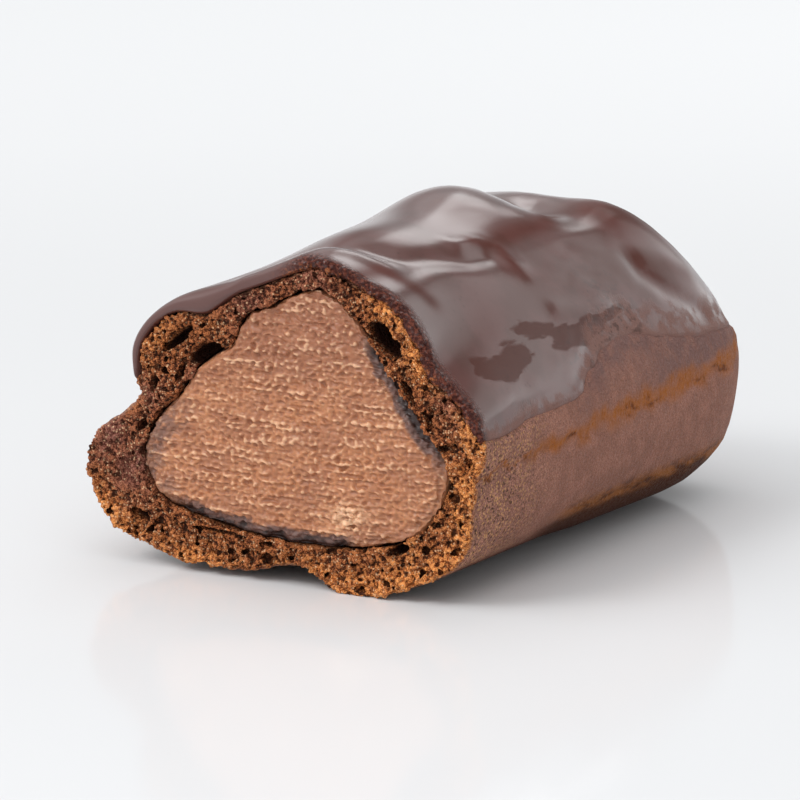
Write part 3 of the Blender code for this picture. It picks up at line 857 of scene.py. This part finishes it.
# %% Mark the dull lines, the pits, the cut lip and the thin edge
# Each line has its points, its width in mm and its strength.
DULL_MARKS = (
    (((9.8, -6.0, 31.0), (9.5, 0.0, 31.4), (9.4, 6.0, 31.4), (6.5, 11.0, 31.2)), 1.7, 0.95),
    (((8.9, -9.0, 31.4), (10.4, -6.5, 30.7), (12.4, -7.1, 29.4), (14.3, -7.5, 28.0)), 0.9, 0.9),
    (((9.1, -30.7, 31.3), (9.2, -27.0, 31.1), (11.9, -26.1, 29.9), (13.8, -25.5, 28.5)), 1.4, 0.8),
    (((9.9, 16.3, 31.0), (11.0, 22.0, 28.5), (12.5, 27.0, 25.5)), 4.5, 0.9),
    (((17.0, -1.0, 26.0), (16.5, 6.0, 26.5), (16.0, 14.0, 26.5)), 5.0, 0.25),
    (((15.5, 13.0, 27.0), (17.0, 17.5, 25.5), (17.5, 21.0, 24.0)), 2.0, 0.6),
    (((-6.0, -28.0, 28.5), (1.2, -23.1, 32.4), (2.5, -19.6, 33.0)), 3.0, 0.5),
)
PITTED = (
    (-19.5, 30.0, 4.0, 1.0), (-24.0, 26.5, 3.0, 0.6), (-20.0, 18.0, 4.5, 0.8), (1.0, 21.5, 6.5, 1.0),
)
SOFT_ANGLE = 42
dull = np.zeros(len(x))
for line, width, strength in DULL_MARKS:
    dull = np.maximum(dull, strength * near_line(points_of(coat), line, width))
edge = above_edge_of(points_of(coat))
store(coat, "dull", dull)
store(coat, "pitted", spots(y, z, PITTED) * (x > 5))
store(coat, "lip", (1 - ease((y - CUT_Y - 0.1) / 0.5)) * (1 - ease((x + 1) / 5)))
store(coat, "edge", np.clip(edge / (5.0 + 5.5 * ease((y + 9) / 6)), 0, 1))
store(coat, "sunny", ease((x + 1) / 5) * (1 - ease((y - CUT_Y - 0.5) / 1.6)))
select_only(coat)
bpy.ops.object.shade_smooth_by_angle(angle=math.radians(SOFT_ANGLE))
print("numbers kept on the coat:", len(coat.data.attributes))

# %% [markdown]
# Two effects are shared by all three finishes, so each is built once as a node group. Grain is a
# cloudy value for colour and fine relief. Flecks are small round marks strewn one to a cell, where
# only a share of the cells has one: gold specks on the skin, pale ones in the cream, and pits in
# the chocolate.

# %% Helpers for materials
def new_node(tree, kind, **inputs):
    node = tree.nodes.new("ShaderNode" + kind)
    for key, value in inputs.items():
        wire(tree, value, node.inputs[key])
    return node


def wire(tree, value, socket):
    """Links an output to the socket, or sets a plain number or colour on it."""
    if isinstance(value, bpy.types.NodeSocket):
        tree.links.new(value, socket)
    elif socket.type == "RGBA":
        socket.default_value = (*value, 1)
    else:
        socket.default_value = value


def maths(tree, operation, a, b=0.0, clamp=False):
    node = tree.nodes.new("ShaderNodeMath")
    node.operation = operation
    node.use_clamp = clamp
    wire(tree, a, node.inputs[0])
    wire(tree, b, node.inputs[1])
    return node.outputs[0]


def span(tree, value, start, end, low=0.0, high=1.0):
    """Maps start..end onto low..high with soft ends."""
    node = tree.nodes.new("ShaderNodeMapRange")
    node.interpolation_type = "SMOOTHSTEP"
    for number, item in enumerate((value, start, end, low, high)):
        wire(tree, item, node.inputs[number])
    return node.outputs[0]


def blend(tree, share, first, second):
    """First colour at share 0, second at share 1."""
    node = tree.nodes.new("ShaderNodeMix")
    node.data_type = "RGBA"
    wire(tree, share, node.inputs["Factor"])
    wire(tree, first, node.inputs[6])
    wire(tree, second, node.inputs[7])
    return node.outputs[2]


def on_points(tree, name):
    node = tree.nodes.new("ShaderNodeAttribute")
    node.attribute_name = name
    return node.outputs["Fac"]


def millimetres(tree, stretch=(1, 1, 1)):
    """Object coordinates in millimetres, stretched by these factors."""
    place = tree.nodes.new("ShaderNodeTexCoord")
    scaled = tree.nodes.new("ShaderNodeMapping")
    scaled.inputs["Scale"].default_value = [1000 / side for side in stretch]
    tree.links.new(place.outputs["Object"], scaled.inputs["Vector"])
    return scaled.outputs["Vector"]


def new_finish(name):
    finish = bpy.data.materials.new(name)
    finish.use_nodes = True
    return finish, finish.node_tree, finish.node_tree.nodes["Principled BSDF"]


# %% Build the shared groups
def group_with(name, numbers, output):
    """An empty group that takes a place and some numbers, and gives one number."""
    group = bpy.data.node_groups.new(name, "ShaderNodeTree")
    group.interface.new_socket("Place", in_out="INPUT", socket_type="NodeSocketVector")
    for label, value in numbers.items():
        socket = group.interface.new_socket(label, in_out="INPUT", socket_type="NodeSocketFloat")
        socket.default_value = value
    group.interface.new_socket(output, in_out="OUTPUT", socket_type="NodeSocketFloat")
    return group, group.nodes.new("NodeGroupInput"), group.nodes.new("NodeGroupOutput")


def build_grain():
    numbers = {"Size": 1.0, "Detail": 3.0, "Low": 0.35, "High": 0.65}
    group, given, made = group_with("grain", numbers, "Value")
    place, detail = given.outputs["Place"], given.outputs["Detail"]
    scale = maths(group, "DIVIDE", 1.0, given.outputs["Size"])
    noise = new_node(group, "TexNoise", Vector=place, Scale=scale, Detail=detail)
    value = span(group, noise.outputs["Fac"], given.outputs["Low"], given.outputs["High"])
    group.links.new(value, made.inputs["Value"])
    return group


def build_flecks():
    numbers = {"Size": 1.0, "Share": 0.3, "Spread": 0.5}
    group, given, made = group_with("flecks", numbers, "Mask")
    scale = maths(group, "DIVIDE", 1.0, given.outputs["Size"])
    cells = new_node(group, "TexVoronoi", Vector=given.outputs["Place"], Scale=scale)
    parts = new_node(group, "SeparateColor", Color=cells.outputs["Color"])
    chosen = maths(group, "LESS_THAN", parts.outputs[0], given.outputs["Share"])
    near = span(group, cells.outputs["Distance"], given.outputs["Spread"], 0.0)
    group.links.new(maths(group, "MULTIPLY", chosen, near), made.inputs["Mask"])
    return group


GRAIN = build_grain()
FLECKS = build_flecks()
print("shared groups:", GRAIN.name, FLECKS.name)


# %% Use the shared groups
def use_group(tree, group, **inputs):
    node = tree.nodes.new("ShaderNodeGroup")
    node.node_tree = group
    for key, value in inputs.items():
        wire(tree, value, node.inputs[key])
    return node.outputs[0]


def grain(tree, place, size, detail=3.0, low=0.35, high=0.65):
    """Clouds of this size in mm. More detail makes them finer, and low and high set the contrast."""
    return use_group(tree, GRAIN, Place=place, Size=size, Detail=detail, Low=low, High=high)


def flecks(tree, place, size, share, spread=0.5):
    """Marks in cells of this size in mm: the share of cells that have one, and how far it spreads."""
    return use_group(tree, FLECKS, Place=place, Size=size, Share=share, Spread=spread)


def bump(tree, height, distance, under=None):
    """Fine relief of this height in mm, laid over another where one is given."""
    node = tree.nodes.new("ShaderNodeBump")
    node.inputs["Strength"].default_value = 1.0
    node.inputs["Distance"].default_value = distance * MM
    wire(tree, height, node.inputs["Height"])
    if under is not None:
        tree.links.new(under, node.inputs["Normal"])
    return node.outputs["Normal"]

# %% [markdown]
# The crust has two faces. Its skin is matt cocoa brown with a greyish bloom and a fine grain,
# lighter and orange where it split in the oven and along the foot, and painted dark just above the
# floor as a painted contact shadow. The open crumb goes from nearly black in the pits to light on the
# ridges, and is toasted gold where it was closer to the heat. The black of its pits and deep holes
# is painted shade, the lightness of its ridges is painted highlight, and its pale flecks are
# painted glints.

# %% Tones of the crust
CRUMB_PIT_SHADE = (0.020, 0.005, 0.002)
CRUMB_DARK = (0.060, 0.011, 0.004)
CRUMB_LIGHT = (0.50, 0.160, 0.056)
CRUMB_GOLD = (0.33, 0.055, 0.008)
CRUMB_GOLD_LIGHT = (1.0, 0.40, 0.12)
CRUMB_PAINTED_GLINT = (1.0, 0.66, 0.38)
CRUMB_SOAKED = (0.150, 0.042, 0.026)
CRUMB_SOAKED_LIGHT = (0.36, 0.150, 0.110)
SKIN_DARK = (0.195, 0.086, 0.060)
SKIN_LIGHT = (0.56, 0.262, 0.186)
SKIN_GOLD = (0.72, 0.38, 0.16)
SKIN_SPECK = (0.045, 0.016, 0.010)
VEIL_TONE = (0.230, 0.120, 0.102)
SPLIT_TONE = (0.40, 0.128, 0.030)
SPLIT_DARK = (0.165, 0.044, 0.012)
FOOT_TONE = (0.36, 0.125, 0.032)
# The foot's dark toasting, also used as the painted contact shadow just above the floor.
FOOT_DARK_AND_SHADOW = (0.078, 0.021, 0.006)


# %% Colour of the crumb
def crumb_colour(tree, place):
    fine = grain(tree, place, 0.13, 4.0, 0.40, 0.60)
    hollow = on_points(tree, "hollow")
    # Ridges are painted lighter: painted highlight. The fine grain added to it is the crumb's own
    # texture.
    ridge = span(tree, hollow, 0.25, -0.6, 0.0, 0.8)
    light = maths(tree, "ADD", ridge, span(tree, fine, 0.0, 1.0, -0.40, 0.60), clamp=True)
    uneven = span(tree, grain(tree, place, 0.7), 0, 1, 0.25, 1.5)
    golden = maths(tree, "MULTIPLY", on_points(tree, "golden"), uneven, clamp=True)
    brown = blend(tree, light, CRUMB_DARK, CRUMB_LIGHT)
    raised_light = maths(tree, "ADD", light, 0.15, clamp=True)
    gold = blend(tree, raised_light, CRUMB_GOLD, CRUMB_GOLD_LIGHT)
    wet = blend(tree, light, CRUMB_SOAKED, CRUMB_SOAKED_LIGHT)
    cloudy = span(tree, grain(tree, place, 1.6), 0, 1, 0.6, 1.0)
    soaked = maths(tree, "MULTIPLY", on_points(tree, "soaked"), cloudy)
    crumb = blend(tree, soaked, blend(tree, golden, brown, gold), wet)
    # Pale flecks are painted glints: painted highlight.
    pale = maths(tree, "MULTIPLY", flecks(tree, place, 0.30, 0.44, 0.48), 0.90)
    crumb = blend(tree, pale, crumb, CRUMB_PAINTED_GLINT)
    # Pits and deep holes are painted nearly black: painted shade.
    pit_shade = span(tree, hollow, 0.0, 0.75, 0.0, span(tree, soaked, 0, 1, 0.9, 0.45))
    return blend(tree, maths(tree, "MAXIMUM", pit_shade, on_points(tree, "deep")), crumb, CRUMB_PIT_SHADE)


# %% Colour of the skin
def skin_specks(tree, place):
    """The dark specks of the skin, which are small bumps too."""
    return flecks(tree, place, 0.36, 0.42, 0.62)


def plain_skin(tree, place):
    """The skin with its gold and dark specks, most near the cut, and its greyish veil."""
    near = on_points(tree, "near")
    mottle = span(tree, grain(tree, place, 2.2), 0, 1, 0.68, 1)
    sandy = grain(tree, place, 0.15, 3.0, 0.34, 0.66)
    even = span(tree, near, 0.0, 1.0, 0.55, 0.0)
    uneven = maths(tree, "MULTIPLY", sandy, maths(tree, "SUBTRACT", 1.0, even))
    softened = maths(tree, "ADD", uneven, maths(tree, "MULTIPLY", even, 0.5))
    skin = blend(tree, maths(tree, "MULTIPLY", mottle, softened), SKIN_DARK, SKIN_LIGHT)
    strewn = span(tree, near, 0.15, 0.95)
    patchy = maths(tree, "MULTIPLY", strewn, grain(tree, place, 3.0, 2.0, 0.20, 0.45))
    gold = maths(tree, "MULTIPLY", flecks(tree, place, 0.33, 0.60, 0.66), patchy)
    skin = blend(tree, gold, skin, SKIN_GOLD)
    dark = maths(tree, "MULTIPLY", skin_specks(tree, place), strewn)
    skin = blend(tree, dark, skin, SKIN_SPECK)
    cloudy = span(tree, grain(tree, place, 1.5), 0, 1, 0.6, 1)
    veil = maths(tree, "MULTIPLY", on_points(tree, "veil"), cloudy)
    return blend(tree, veil, skin, VEIL_TONE)


def with_split(tree, place, skin):
    """Lays the orange split and the dark cracks along it over the skin."""
    near = on_points(tree, "near")
    waver = span(tree, grain(tree, place, 2.6, 3.0, 0.30, 0.70), 0, 1, -0.50, 0.50)
    above = maths(tree, "ADD", on_points(tree, "split"), waver)
    reach = span(tree, near, 1.0, 0.0, 0.60, 1.7)
    off_middle = maths(tree, "ABSOLUTE", maths(tree, "SUBTRACT", above, 0.25))
    band = span(tree, off_middle, reach, 0.1)
    gaps = grain(tree, place, 0.7, 3.0, 0.42, 0.58)
    broken = maths(tree, "MAXIMUM", gaps, span(tree, near, 0.75, 0.35))
    uneven = span(tree, grain(tree, place, 1.8, 4.0), 0, 1, 0.65, 1.0)
    orange = maths(tree, "MULTIPLY", maths(tree, "MULTIPLY", band, broken), uneven)
    skin = blend(tree, orange, skin, SPLIT_TONE)
    blotchy = grain(tree, millimetres(tree, (1.8, 3.0, 1.4)), 1.0, 5.0, 0.46, 0.62)
    crack = span(tree, maths(tree, "ABSOLUTE", above), 0.55, 0.0)
    dark = maths(tree, "MULTIPLY", maths(tree, "MULTIPLY", crack, blotchy), broken)
    return blend(tree, dark, skin, SPLIT_DARK)


def with_foot(tree, skin):
    """Lays the baked foot over the skin, and a painted contact shadow just above the floor."""
    toasted = grain(tree, millimetres(tree, (1.8, 3.4, 1.3)), 1.0, 5.0, 0.34, 0.62)
    foot = blend(tree, toasted, FOOT_DARK_AND_SHADOW, FOOT_TONE)
    skin = blend(tree, on_points(tree, "foot"), skin, foot)
    # Just above the floor the skin is painted dark: painted contact shadow.
    return blend(tree, on_points(tree, "contact_shadow"), skin, FOOT_DARK_AND_SHADOW)


# %% Finish of the crust
def crust_finish():
    finish, tree, shader = new_finish("choux_crust")
    place = millimetres(tree)
    crumb = on_points(tree, "crumb")
    skin = with_foot(tree, with_split(tree, place, plain_skin(tree, place)))
    wire(tree, blend(tree, crumb, skin, crumb_colour(tree, place)), shader.inputs["Base Color"])
    glint = span(tree, grain(tree, place, 0.2, 2.0, 0.5, 0.65), 0, 1, 0.62, 0.22)
    matt = span(tree, grain(tree, place, 0.22), 0, 1, 0.75, 0.5)
    wire(tree, blend(tree, crumb, matt, glint), shader.inputs["Roughness"])
    gritty = bump(tree, grain(tree, place, 0.15, 3.0, 0.25, 0.75), 0.07)
    specks = maths(tree, "MULTIPLY", on_points(tree, "near"), skin_specks(tree, place))
    sandy = maths(tree, "ADD", grain(tree, place, 0.42, 3.0, 0.25, 0.75), specks)
    wire(tree, bump(tree, sandy, 0.20, gritty), shader.inputs["Normal"])
    shader.inputs["Specular IOR Level"].default_value = 0.12
    return finish


print("crust tones: crumb", CRUMB_LIGHT, "skin", SKIN_LIGHT)


# %% [markdown]
# The cream is an even milk-chocolate brown. Light sinks a little way into it, so its marks look
# soft. The ridges that stand out are glossier, and painted paler as a painted highlight. Tiny pale
# flecks, partly fat and partly painted highlight, and a few dark specks of cocoa sit in it. Its
# dents and its upper part are painted darker as painted shade, and a dark damp band runs along its
# rim at the right and below, where the chocolate that lines the shell met it; its outer side is
# painted darker still, as painted shadow in the gap against the crumb.

# %% Tones of the cream
CREAM_TONE = (0.470, 0.194, 0.086)
CREAM_DEEP_AND_SHADE = (0.30, 0.112, 0.056)
CREAM_PALE_AND_HIGHLIGHT = (0.98, 0.62, 0.38)
CREAM_SPECK = (0.16, 0.075, 0.05)
CREAM_BAND = (0.160, 0.082, 0.064)
CREAM_BAND_SHADOW = (0.035, 0.016, 0.013)


# %% Colour of the cream
def cream_colour(tree, place, beads, shade):
    patchy = span(tree, grain(tree, millimetres(tree, (2.6, 2.0, 1.3)), 1.0, 4.0), 0, 1, 0.0, 0.5)
    tone = blend(tree, patchy, CREAM_TONE, CREAM_DEEP_AND_SHADE)
    # Dents are painted darker: painted shade.
    dent_shade = span(tree, on_points(tree, "hollow"), 0.2, 1.0, 0.0, 0.45)
    tone = blend(tree, dent_shade, tone, CREAM_DEEP_AND_SHADE)
    # The upper part is painted darker: painted shade.
    top_shade = maths(tree, "MULTIPLY", on_points(tree, "top_shade"), 0.70)
    tone = blend(tree, top_shade, tone, CREAM_DEEP_AND_SHADE)
    # Raised marks are painted paler: painted highlight.
    raised = maths(tree, "MULTIPLY", on_points(tree, "raised"), 0.48)
    tone = blend(tree, raised, tone, CREAM_PALE_AND_HIGHLIGHT)
    # Beads are painted paler, partly as flecks of fat and partly as painted highlight.
    tone = blend(tree, maths(tree, "MULTIPLY", beads, 0.25), tone, CREAM_PALE_AND_HIGHLIGHT)
    crumpled = grain(tree, millimetres(tree, (1.4, 1.0, 0.5)), 1.0, 2.0, 0.35, 0.60)
    creases = span(tree, crumpled, 0, 1, 0.15, 0.85)
    lump = maths(tree, "MULTIPLY", on_points(tree, "lump"), creases)
    tone = blend(tree, lump, tone, CREAM_PALE_AND_HIGHLIGHT)
    tone = blend(tree, maths(tree, "MULTIPLY", shade, 0.18), tone, CREAM_DEEP_AND_SHADE)
    return blend(tree, flecks(tree, place, 1.7, 0.22, 0.08), tone, CREAM_SPECK)


def with_rim(tree, place, tone):
    """Lays the damp band, with painted shadow at its outer side in the gap against the crumb, and the
    smear beside it over the cream.
    """
    waver = span(tree, grain(tree, place, 2.5, 2.0), 0, 1, -0.25, 0.25)
    rim = maths(tree, "ADD", on_points(tree, "rim"), waver)
    # The band's outer side is painted darker: painted shadow in the gap against the crumb.
    band_tone = blend(tree, span(tree, rim, 0.55, 0.15), CREAM_BAND, CREAM_BAND_SHADOW)
    band = maths(tree, "MULTIPLY", span(tree, rim, 1.25, 0.75), on_points(tree, "damp"))
    tone = blend(tree, band, tone, band_tone)
    misty = span(tree, grain(tree, place, 1.3), 0, 1, -0.9, 0.9)
    faded = span(tree, maths(tree, "ADD", rim, misty), 2.4, 0.0)
    smear = maths(tree, "MULTIPLY", faded, on_points(tree, "smear"))
    return blend(tree, smear, tone, CREAM_BAND)


# %% Finish of the cream
def cream_finish():
    finish, tree, shader = new_finish("cocoa_cream")
    place = millimetres(tree)
    clustered = grain(tree, millimetres(tree, (2.0, 2.0, 0.9)), 1.0, 2.0, 0.35, 0.55)
    dots = flecks(tree, millimetres(tree, (1.2, 1.0, 0.9)), 0.45, 0.4, 0.55)
    beads = maths(tree, "MULTIPLY", dots, clustered)
    shade = flecks(tree, millimetres(tree, (1.8, 1.0, 0.8)), 0.52, 0.45, 0.50)
    tone = with_rim(tree, place, cream_colour(tree, place, beads, shade))
    wire(tree, tone, shader.inputs["Base Color"])
    satin = span(tree, grain(tree, place, 0.6), 0, 1, 0.52, 0.36)
    glossy = maths(tree, "MULTIPLY", on_points(tree, "raised"), 0.14)
    wire(tree, maths(tree, "SUBTRACT", satin, glossy), shader.inputs["Roughness"])
    worked = grain(tree, millimetres(tree, (1.5, 1.0, 0.7)), 1.0, 3.0, 0.25, 0.75)
    relief = maths(tree, "SUBTRACT", beads, maths(tree, "MULTIPLY", shade, 0.5))
    wire(tree, bump(tree, relief, 0.07, bump(tree, worked, 0.05)), shader.inputs["Normal"])
    shader.inputs["Subsurface Weight"].default_value = 0.2
    shader.inputs["Subsurface Radius"].default_value = (1.0, 0.5, 0.3)
    shader.inputs["Subsurface Scale"].default_value = 0.0004
    shader.inputs["Specular IOR Level"].default_value = 0.45
    return finish


print("cream tone:", CREAM_TONE)


# %% [markdown]
# The chocolate is nearly black where nothing bright is mirrored in it. Most of what shows is the
# two pale windows in its gloss, so the gloss is a clear coat. It is left off the dull patches,
# the dull lines and the dry lower edge, and the chocolate is rougher along the last two. A faint
# cloudy bloom of fat greys it all over, except on the dull patches, which are painted dark as a
# painted dark reflection, and the scuffed part has dark cracks.

# %% Tones of the chocolate
COAT_DARK = (0.080, 0.022, 0.014)
COAT_BLOOM = (0.121, 0.037, 0.030)
COAT_DRY = (0.215, 0.108, 0.086)
COAT_CUT = (0.108, 0.047, 0.040)
LIP_RED = (0.055, 0.011, 0.007)
LIP_BROWN = (0.180, 0.048, 0.028)
LIP_ORANGE = (0.40, 0.120, 0.035)
PIT_TONE = (0.035, 0.012, 0.008)


# %% Colour of the chocolate
def torn_lip(tree, place):
    """The torn lip: reddish in its grit, brown at the outside and orange towards the crumb."""
    clumps = span(tree, grain(tree, place, 0.8), 0, 1, -0.30, 0.30)
    inner = span(tree, maths(tree, "ADD", on_points(tree, "rind"), clumps), 0.55, 1.05)
    light = blend(tree, inner, LIP_BROWN, LIP_ORANGE)
    return blend(tree, grain(tree, place, 0.34, 3.0, 0.42, 0.66), LIP_RED, light)


def coat_colour(tree, place, patch, dry, pits):
    bloom = span(tree, grain(tree, place, 6.0), 0, 1, 0.1, 0.6)
    tone = blend(tree, bloom, COAT_DARK, COAT_BLOOM)
    # The dull patches are painted dark, without the bloom: painted dark reflection.
    tone = blend(tree, patch, tone, COAT_DARK)
    tone = blend(tree, dry, tone, COAT_DRY)
    tone = blend(tree, pits, tone, PIT_TONE)
    cracks = grain(tree, millimetres(tree, (0.9, 1.3, 1.0)), 1.0, 3.0, 0.54, 0.62)
    cracked = maths(tree, "MULTIPLY", on_points(tree, "scuffed"), cracks)
    tone = blend(tree, maths(tree, "MULTIPLY", cracked, 0.6), tone, PIT_TONE)
    tone = blend(tree, on_points(tree, "lip"), tone, COAT_CUT)
    return blend(tree, on_points(tree, "sunny"), tone, torn_lip(tree, place))


# %% Finish of the chocolate
def without_gloss(tree, place, patch, dry, pits):
    """How much of the gloss is missing at each place."""
    matt = maths(tree, "MAXIMUM", maths(tree, "MULTIPLY", patch, 0.9), maths(tree, "MULTIPLY", dry, 0.85))
    wet = flecks(tree, place, 0.36, 0.60, 0.66)
    dull_lip = maths(tree, "MULTIPLY", on_points(tree, "sunny"), span(tree, wet, 0.0, 0.5, 0.95, 0.1))
    matt = maths(tree, "MAXIMUM", matt, maths(tree, "MAXIMUM", dull_lip, pits))
    return maths(tree, "MAXIMUM", matt, on_points(tree, "dull"))


def coat_finish():
    finish, tree, shader = new_finish("chocolate_glaze")
    place = millimetres(tree)
    sunny = on_points(tree, "sunny")
    wavy = span(tree, grain(tree, place, 1.6), 0, 1, -0.10, 0.10)
    dry = span(tree, maths(tree, "ADD", on_points(tree, "edge"), wavy), 0.42, 0.05)
    ragged = span(tree, grain(tree, millimetres(tree, (2.0, 3.0, 0.8)), 1.0, 2.0), 0, 1, -0.20, 0.20)
    patch = span(tree, maths(tree, "ADD", on_points(tree, "patch"), ragged), -0.15, 0.20)
    scratches = flecks(tree, millimetres(tree, (1.0, 0.6, 1.3)), 0.7, 0.50, 0.34)
    pits = maths(tree, "MULTIPLY", scratches, on_points(tree, "pitted"))
    wire(tree, coat_colour(tree, place, patch, dry, pits), shader.inputs["Base Color"])
    matt = without_gloss(tree, place, patch, dry, pits)
    wire(tree, maths(tree, "SUBTRACT", 1.0, matt), shader.inputs["Coat Weight"])
    glint = span(tree, grain(tree, place, 0.2, 2.0, 0.5, 0.65), 0, 1, 0.55, 0.2)
    satin = span(tree, maths(tree, "MAXIMUM", dry, on_points(tree, "dull")), 0, 1, 0.35, 0.75)
    wire(tree, blend(tree, sunny, satin, glint), shader.inputs["Roughness"])
    rough = maths(tree, "MAXIMUM", sunny, maths(tree, "MULTIPLY", dry, 0.4))
    rough_lip = maths(tree, "MULTIPLY", grain(tree, place, 0.22, 3.0), rough)
    wire(tree, bump(tree, rough_lip, 0.14), shader.inputs["Normal"])
    shader.inputs["Coat Roughness"].default_value = 0.20
    shader.inputs["Coat IOR"].default_value = 1.4
    shader.inputs["Specular IOR Level"].default_value = 0.15
    return finish


print("coat tone:", COAT_DARK)


# %% Give each piece its finish and its place in the part
for piece, node, slot_name, make in (
    (crust, "choux_shell", "choux_crust", crust_finish),
    (cream, "cream_filling", "cocoa_cream", cream_finish),
    (coat, "chocolate_glaze", "chocolate_glaze", coat_finish),
):
    piece.data.materials.append(make())
    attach(piece, "root")
    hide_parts(node)
    print(piece.name, "has", triangles(piece), "triangles")

# %% [markdown]
# The eclair lies on a plain pale floor with a slight polish, like a glazed plate. Two windows stand
# behind it, a wide one at the right and a small, higher one at the left, and draw the bright bands
# on the chocolate. A lamp at the front left lights the cut face, and a pale room all round fills
# the rest.

# %% Floor
FLOOR_SIZE = 6
FLOOR_DROP = 0.00005
FLOOR_TONE = (0.80, 0.80, 0.805)
bpy.ops.object.select_all(action="DESELECT")
bpy.ops.mesh.primitive_plane_add(size=FLOOR_SIZE, location=(0, 0, -FLOOR_DROP))
floor = bpy.context.object
floor.name = "floor"
plate, _, shader = new_finish("pale floor")
shader.inputs["Base Color"].default_value = (*FLOOR_TONE, 1)
shader.inputs["Roughness"].default_value = 0.10
shader.inputs["Specular IOR Level"].default_value = 0.13
floor.data.materials.append(plate)
print("floor:", FLOOR_SIZE, "m wide")


# %% Pale room
ROOM_FAR = 0.95
ROOM_HORIZON = 0.52
ROOM_WALL = 0.13
ROOM_SIDE = 0.85
ROOM_FRONT = 1.15
ROOM_CEILING = 1.24


def pale_room():
    """Brightness by direction: Z is up, Y is away from the camera and X is to the right."""
    world = bpy.data.worlds.new("pale room")
    bpy.context.scene.world = world
    world.use_nodes = True
    tree = world.node_tree
    shader = tree.nodes["Background"]
    place = tree.nodes.new("ShaderNodeTexCoord")
    parts = new_node(tree, "SeparateXYZ", Vector=place.outputs["Generated"])
    far = span(tree, parts.outputs["Z"], 0.10, 0.20, ROOM_FAR, ROOM_HORIZON)
    wall = span(tree, parts.outputs["Z"], 0.21, 0.36, far, ROOM_WALL)
    behind = maths(tree, "MULTIPLY", wall, span(tree, parts.outputs["Y"], -0.5, 0.3, 0.0, 1.0))
    front = span(tree, parts.outputs["Y"], -0.5, 0.3, ROOM_FRONT, 0.0)
    beside = span(tree, parts.outputs["X"], -0.22, -0.42, 0.0, ROOM_SIDE)
    beside = maths(tree, "MULTIPLY", beside, span(tree, parts.outputs["Z"], 0.28, 0.42))
    low = maths(tree, "ADD", maths(tree, "MAXIMUM", behind, beside), front)
    high = span(tree, parts.outputs["Z"], 0.6, 0.85, 0.0, ROOM_CEILING)
    tree.links.new(maths(tree, "MAXIMUM", low, high), shader.inputs["Strength"])
    shader.inputs["Color"].default_value = (0.97, 0.985, 1.0, 1)


pale_room()
print("room brightness: wall", ROOM_WALL, "ceiling", ROOM_CEILING)


# %% Windows and lamp
LIGHT_TARGET = (0, 0, 0.015)


def aim(obj, target):
    way = Vector(target) - obj.location
    obj.rotation_euler = way.to_track_quat("-Z", "Y").to_euler()


def light_panel(name, place, width, height, power):
    light = bpy.data.lights.new(name, "AREA")
    light.shape = "RECTANGLE"
    light.size = width
    light.size_y = height
    light.energy = power
    panel = bpy.data.objects.new(name, light)
    bpy.context.scene.collection.objects.link(panel)
    panel.location = place
    panel.visible_camera = False
    aim(panel, LIGHT_TARGET)
    print(name, "at", place)


light_panel("window", place=(0.20, 0.63, 0.26), width=0.46, height=0.38, power=0.58)
light_panel("far window", place=(-0.172, 0.570, 0.378), width=0.15, height=0.13, power=0.165)
light_panel("lamp", place=(-0.25, -0.42, 0.45), width=0.26, height=0.20, power=1.2)

# %% Camera
CAMERA_TARGET = Vector((-4.75, 0.5, 12.25)) * MM
CAMERA_DISTANCE = 0.4
AZIMUTH = math.radians(30.3)
ELEVATION = math.radians(11.5)
FOCAL_LENGTH = 172.26
SENSOR_WIDTH = 36
NEAREST_SEEN = 0.01
level = math.cos(ELEVATION)
back = Vector((math.sin(AZIMUTH) * level, -math.cos(AZIMUTH) * level, math.sin(ELEVATION)))
lens = bpy.data.cameras.new("camera")
lens.lens = FOCAL_LENGTH
lens.sensor_width = SENSOR_WIDTH
lens.clip_start = NEAREST_SEEN
camera = bpy.data.objects.new("camera", lens)
bpy.context.scene.collection.objects.link(camera)
camera.location = CAMERA_TARGET + back * CAMERA_DISTANCE
aim(camera, CAMERA_TARGET)
bpy.context.scene.camera = camera
bpy.context.scene.view_settings.view_transform = "Standard"
print("camera at", [round(v, 3) for v in camera.location])

# %% Note the sizes and finish
print("CAD box", [round(v / MM, 2) for v in (*cad_low, *cad_high)])
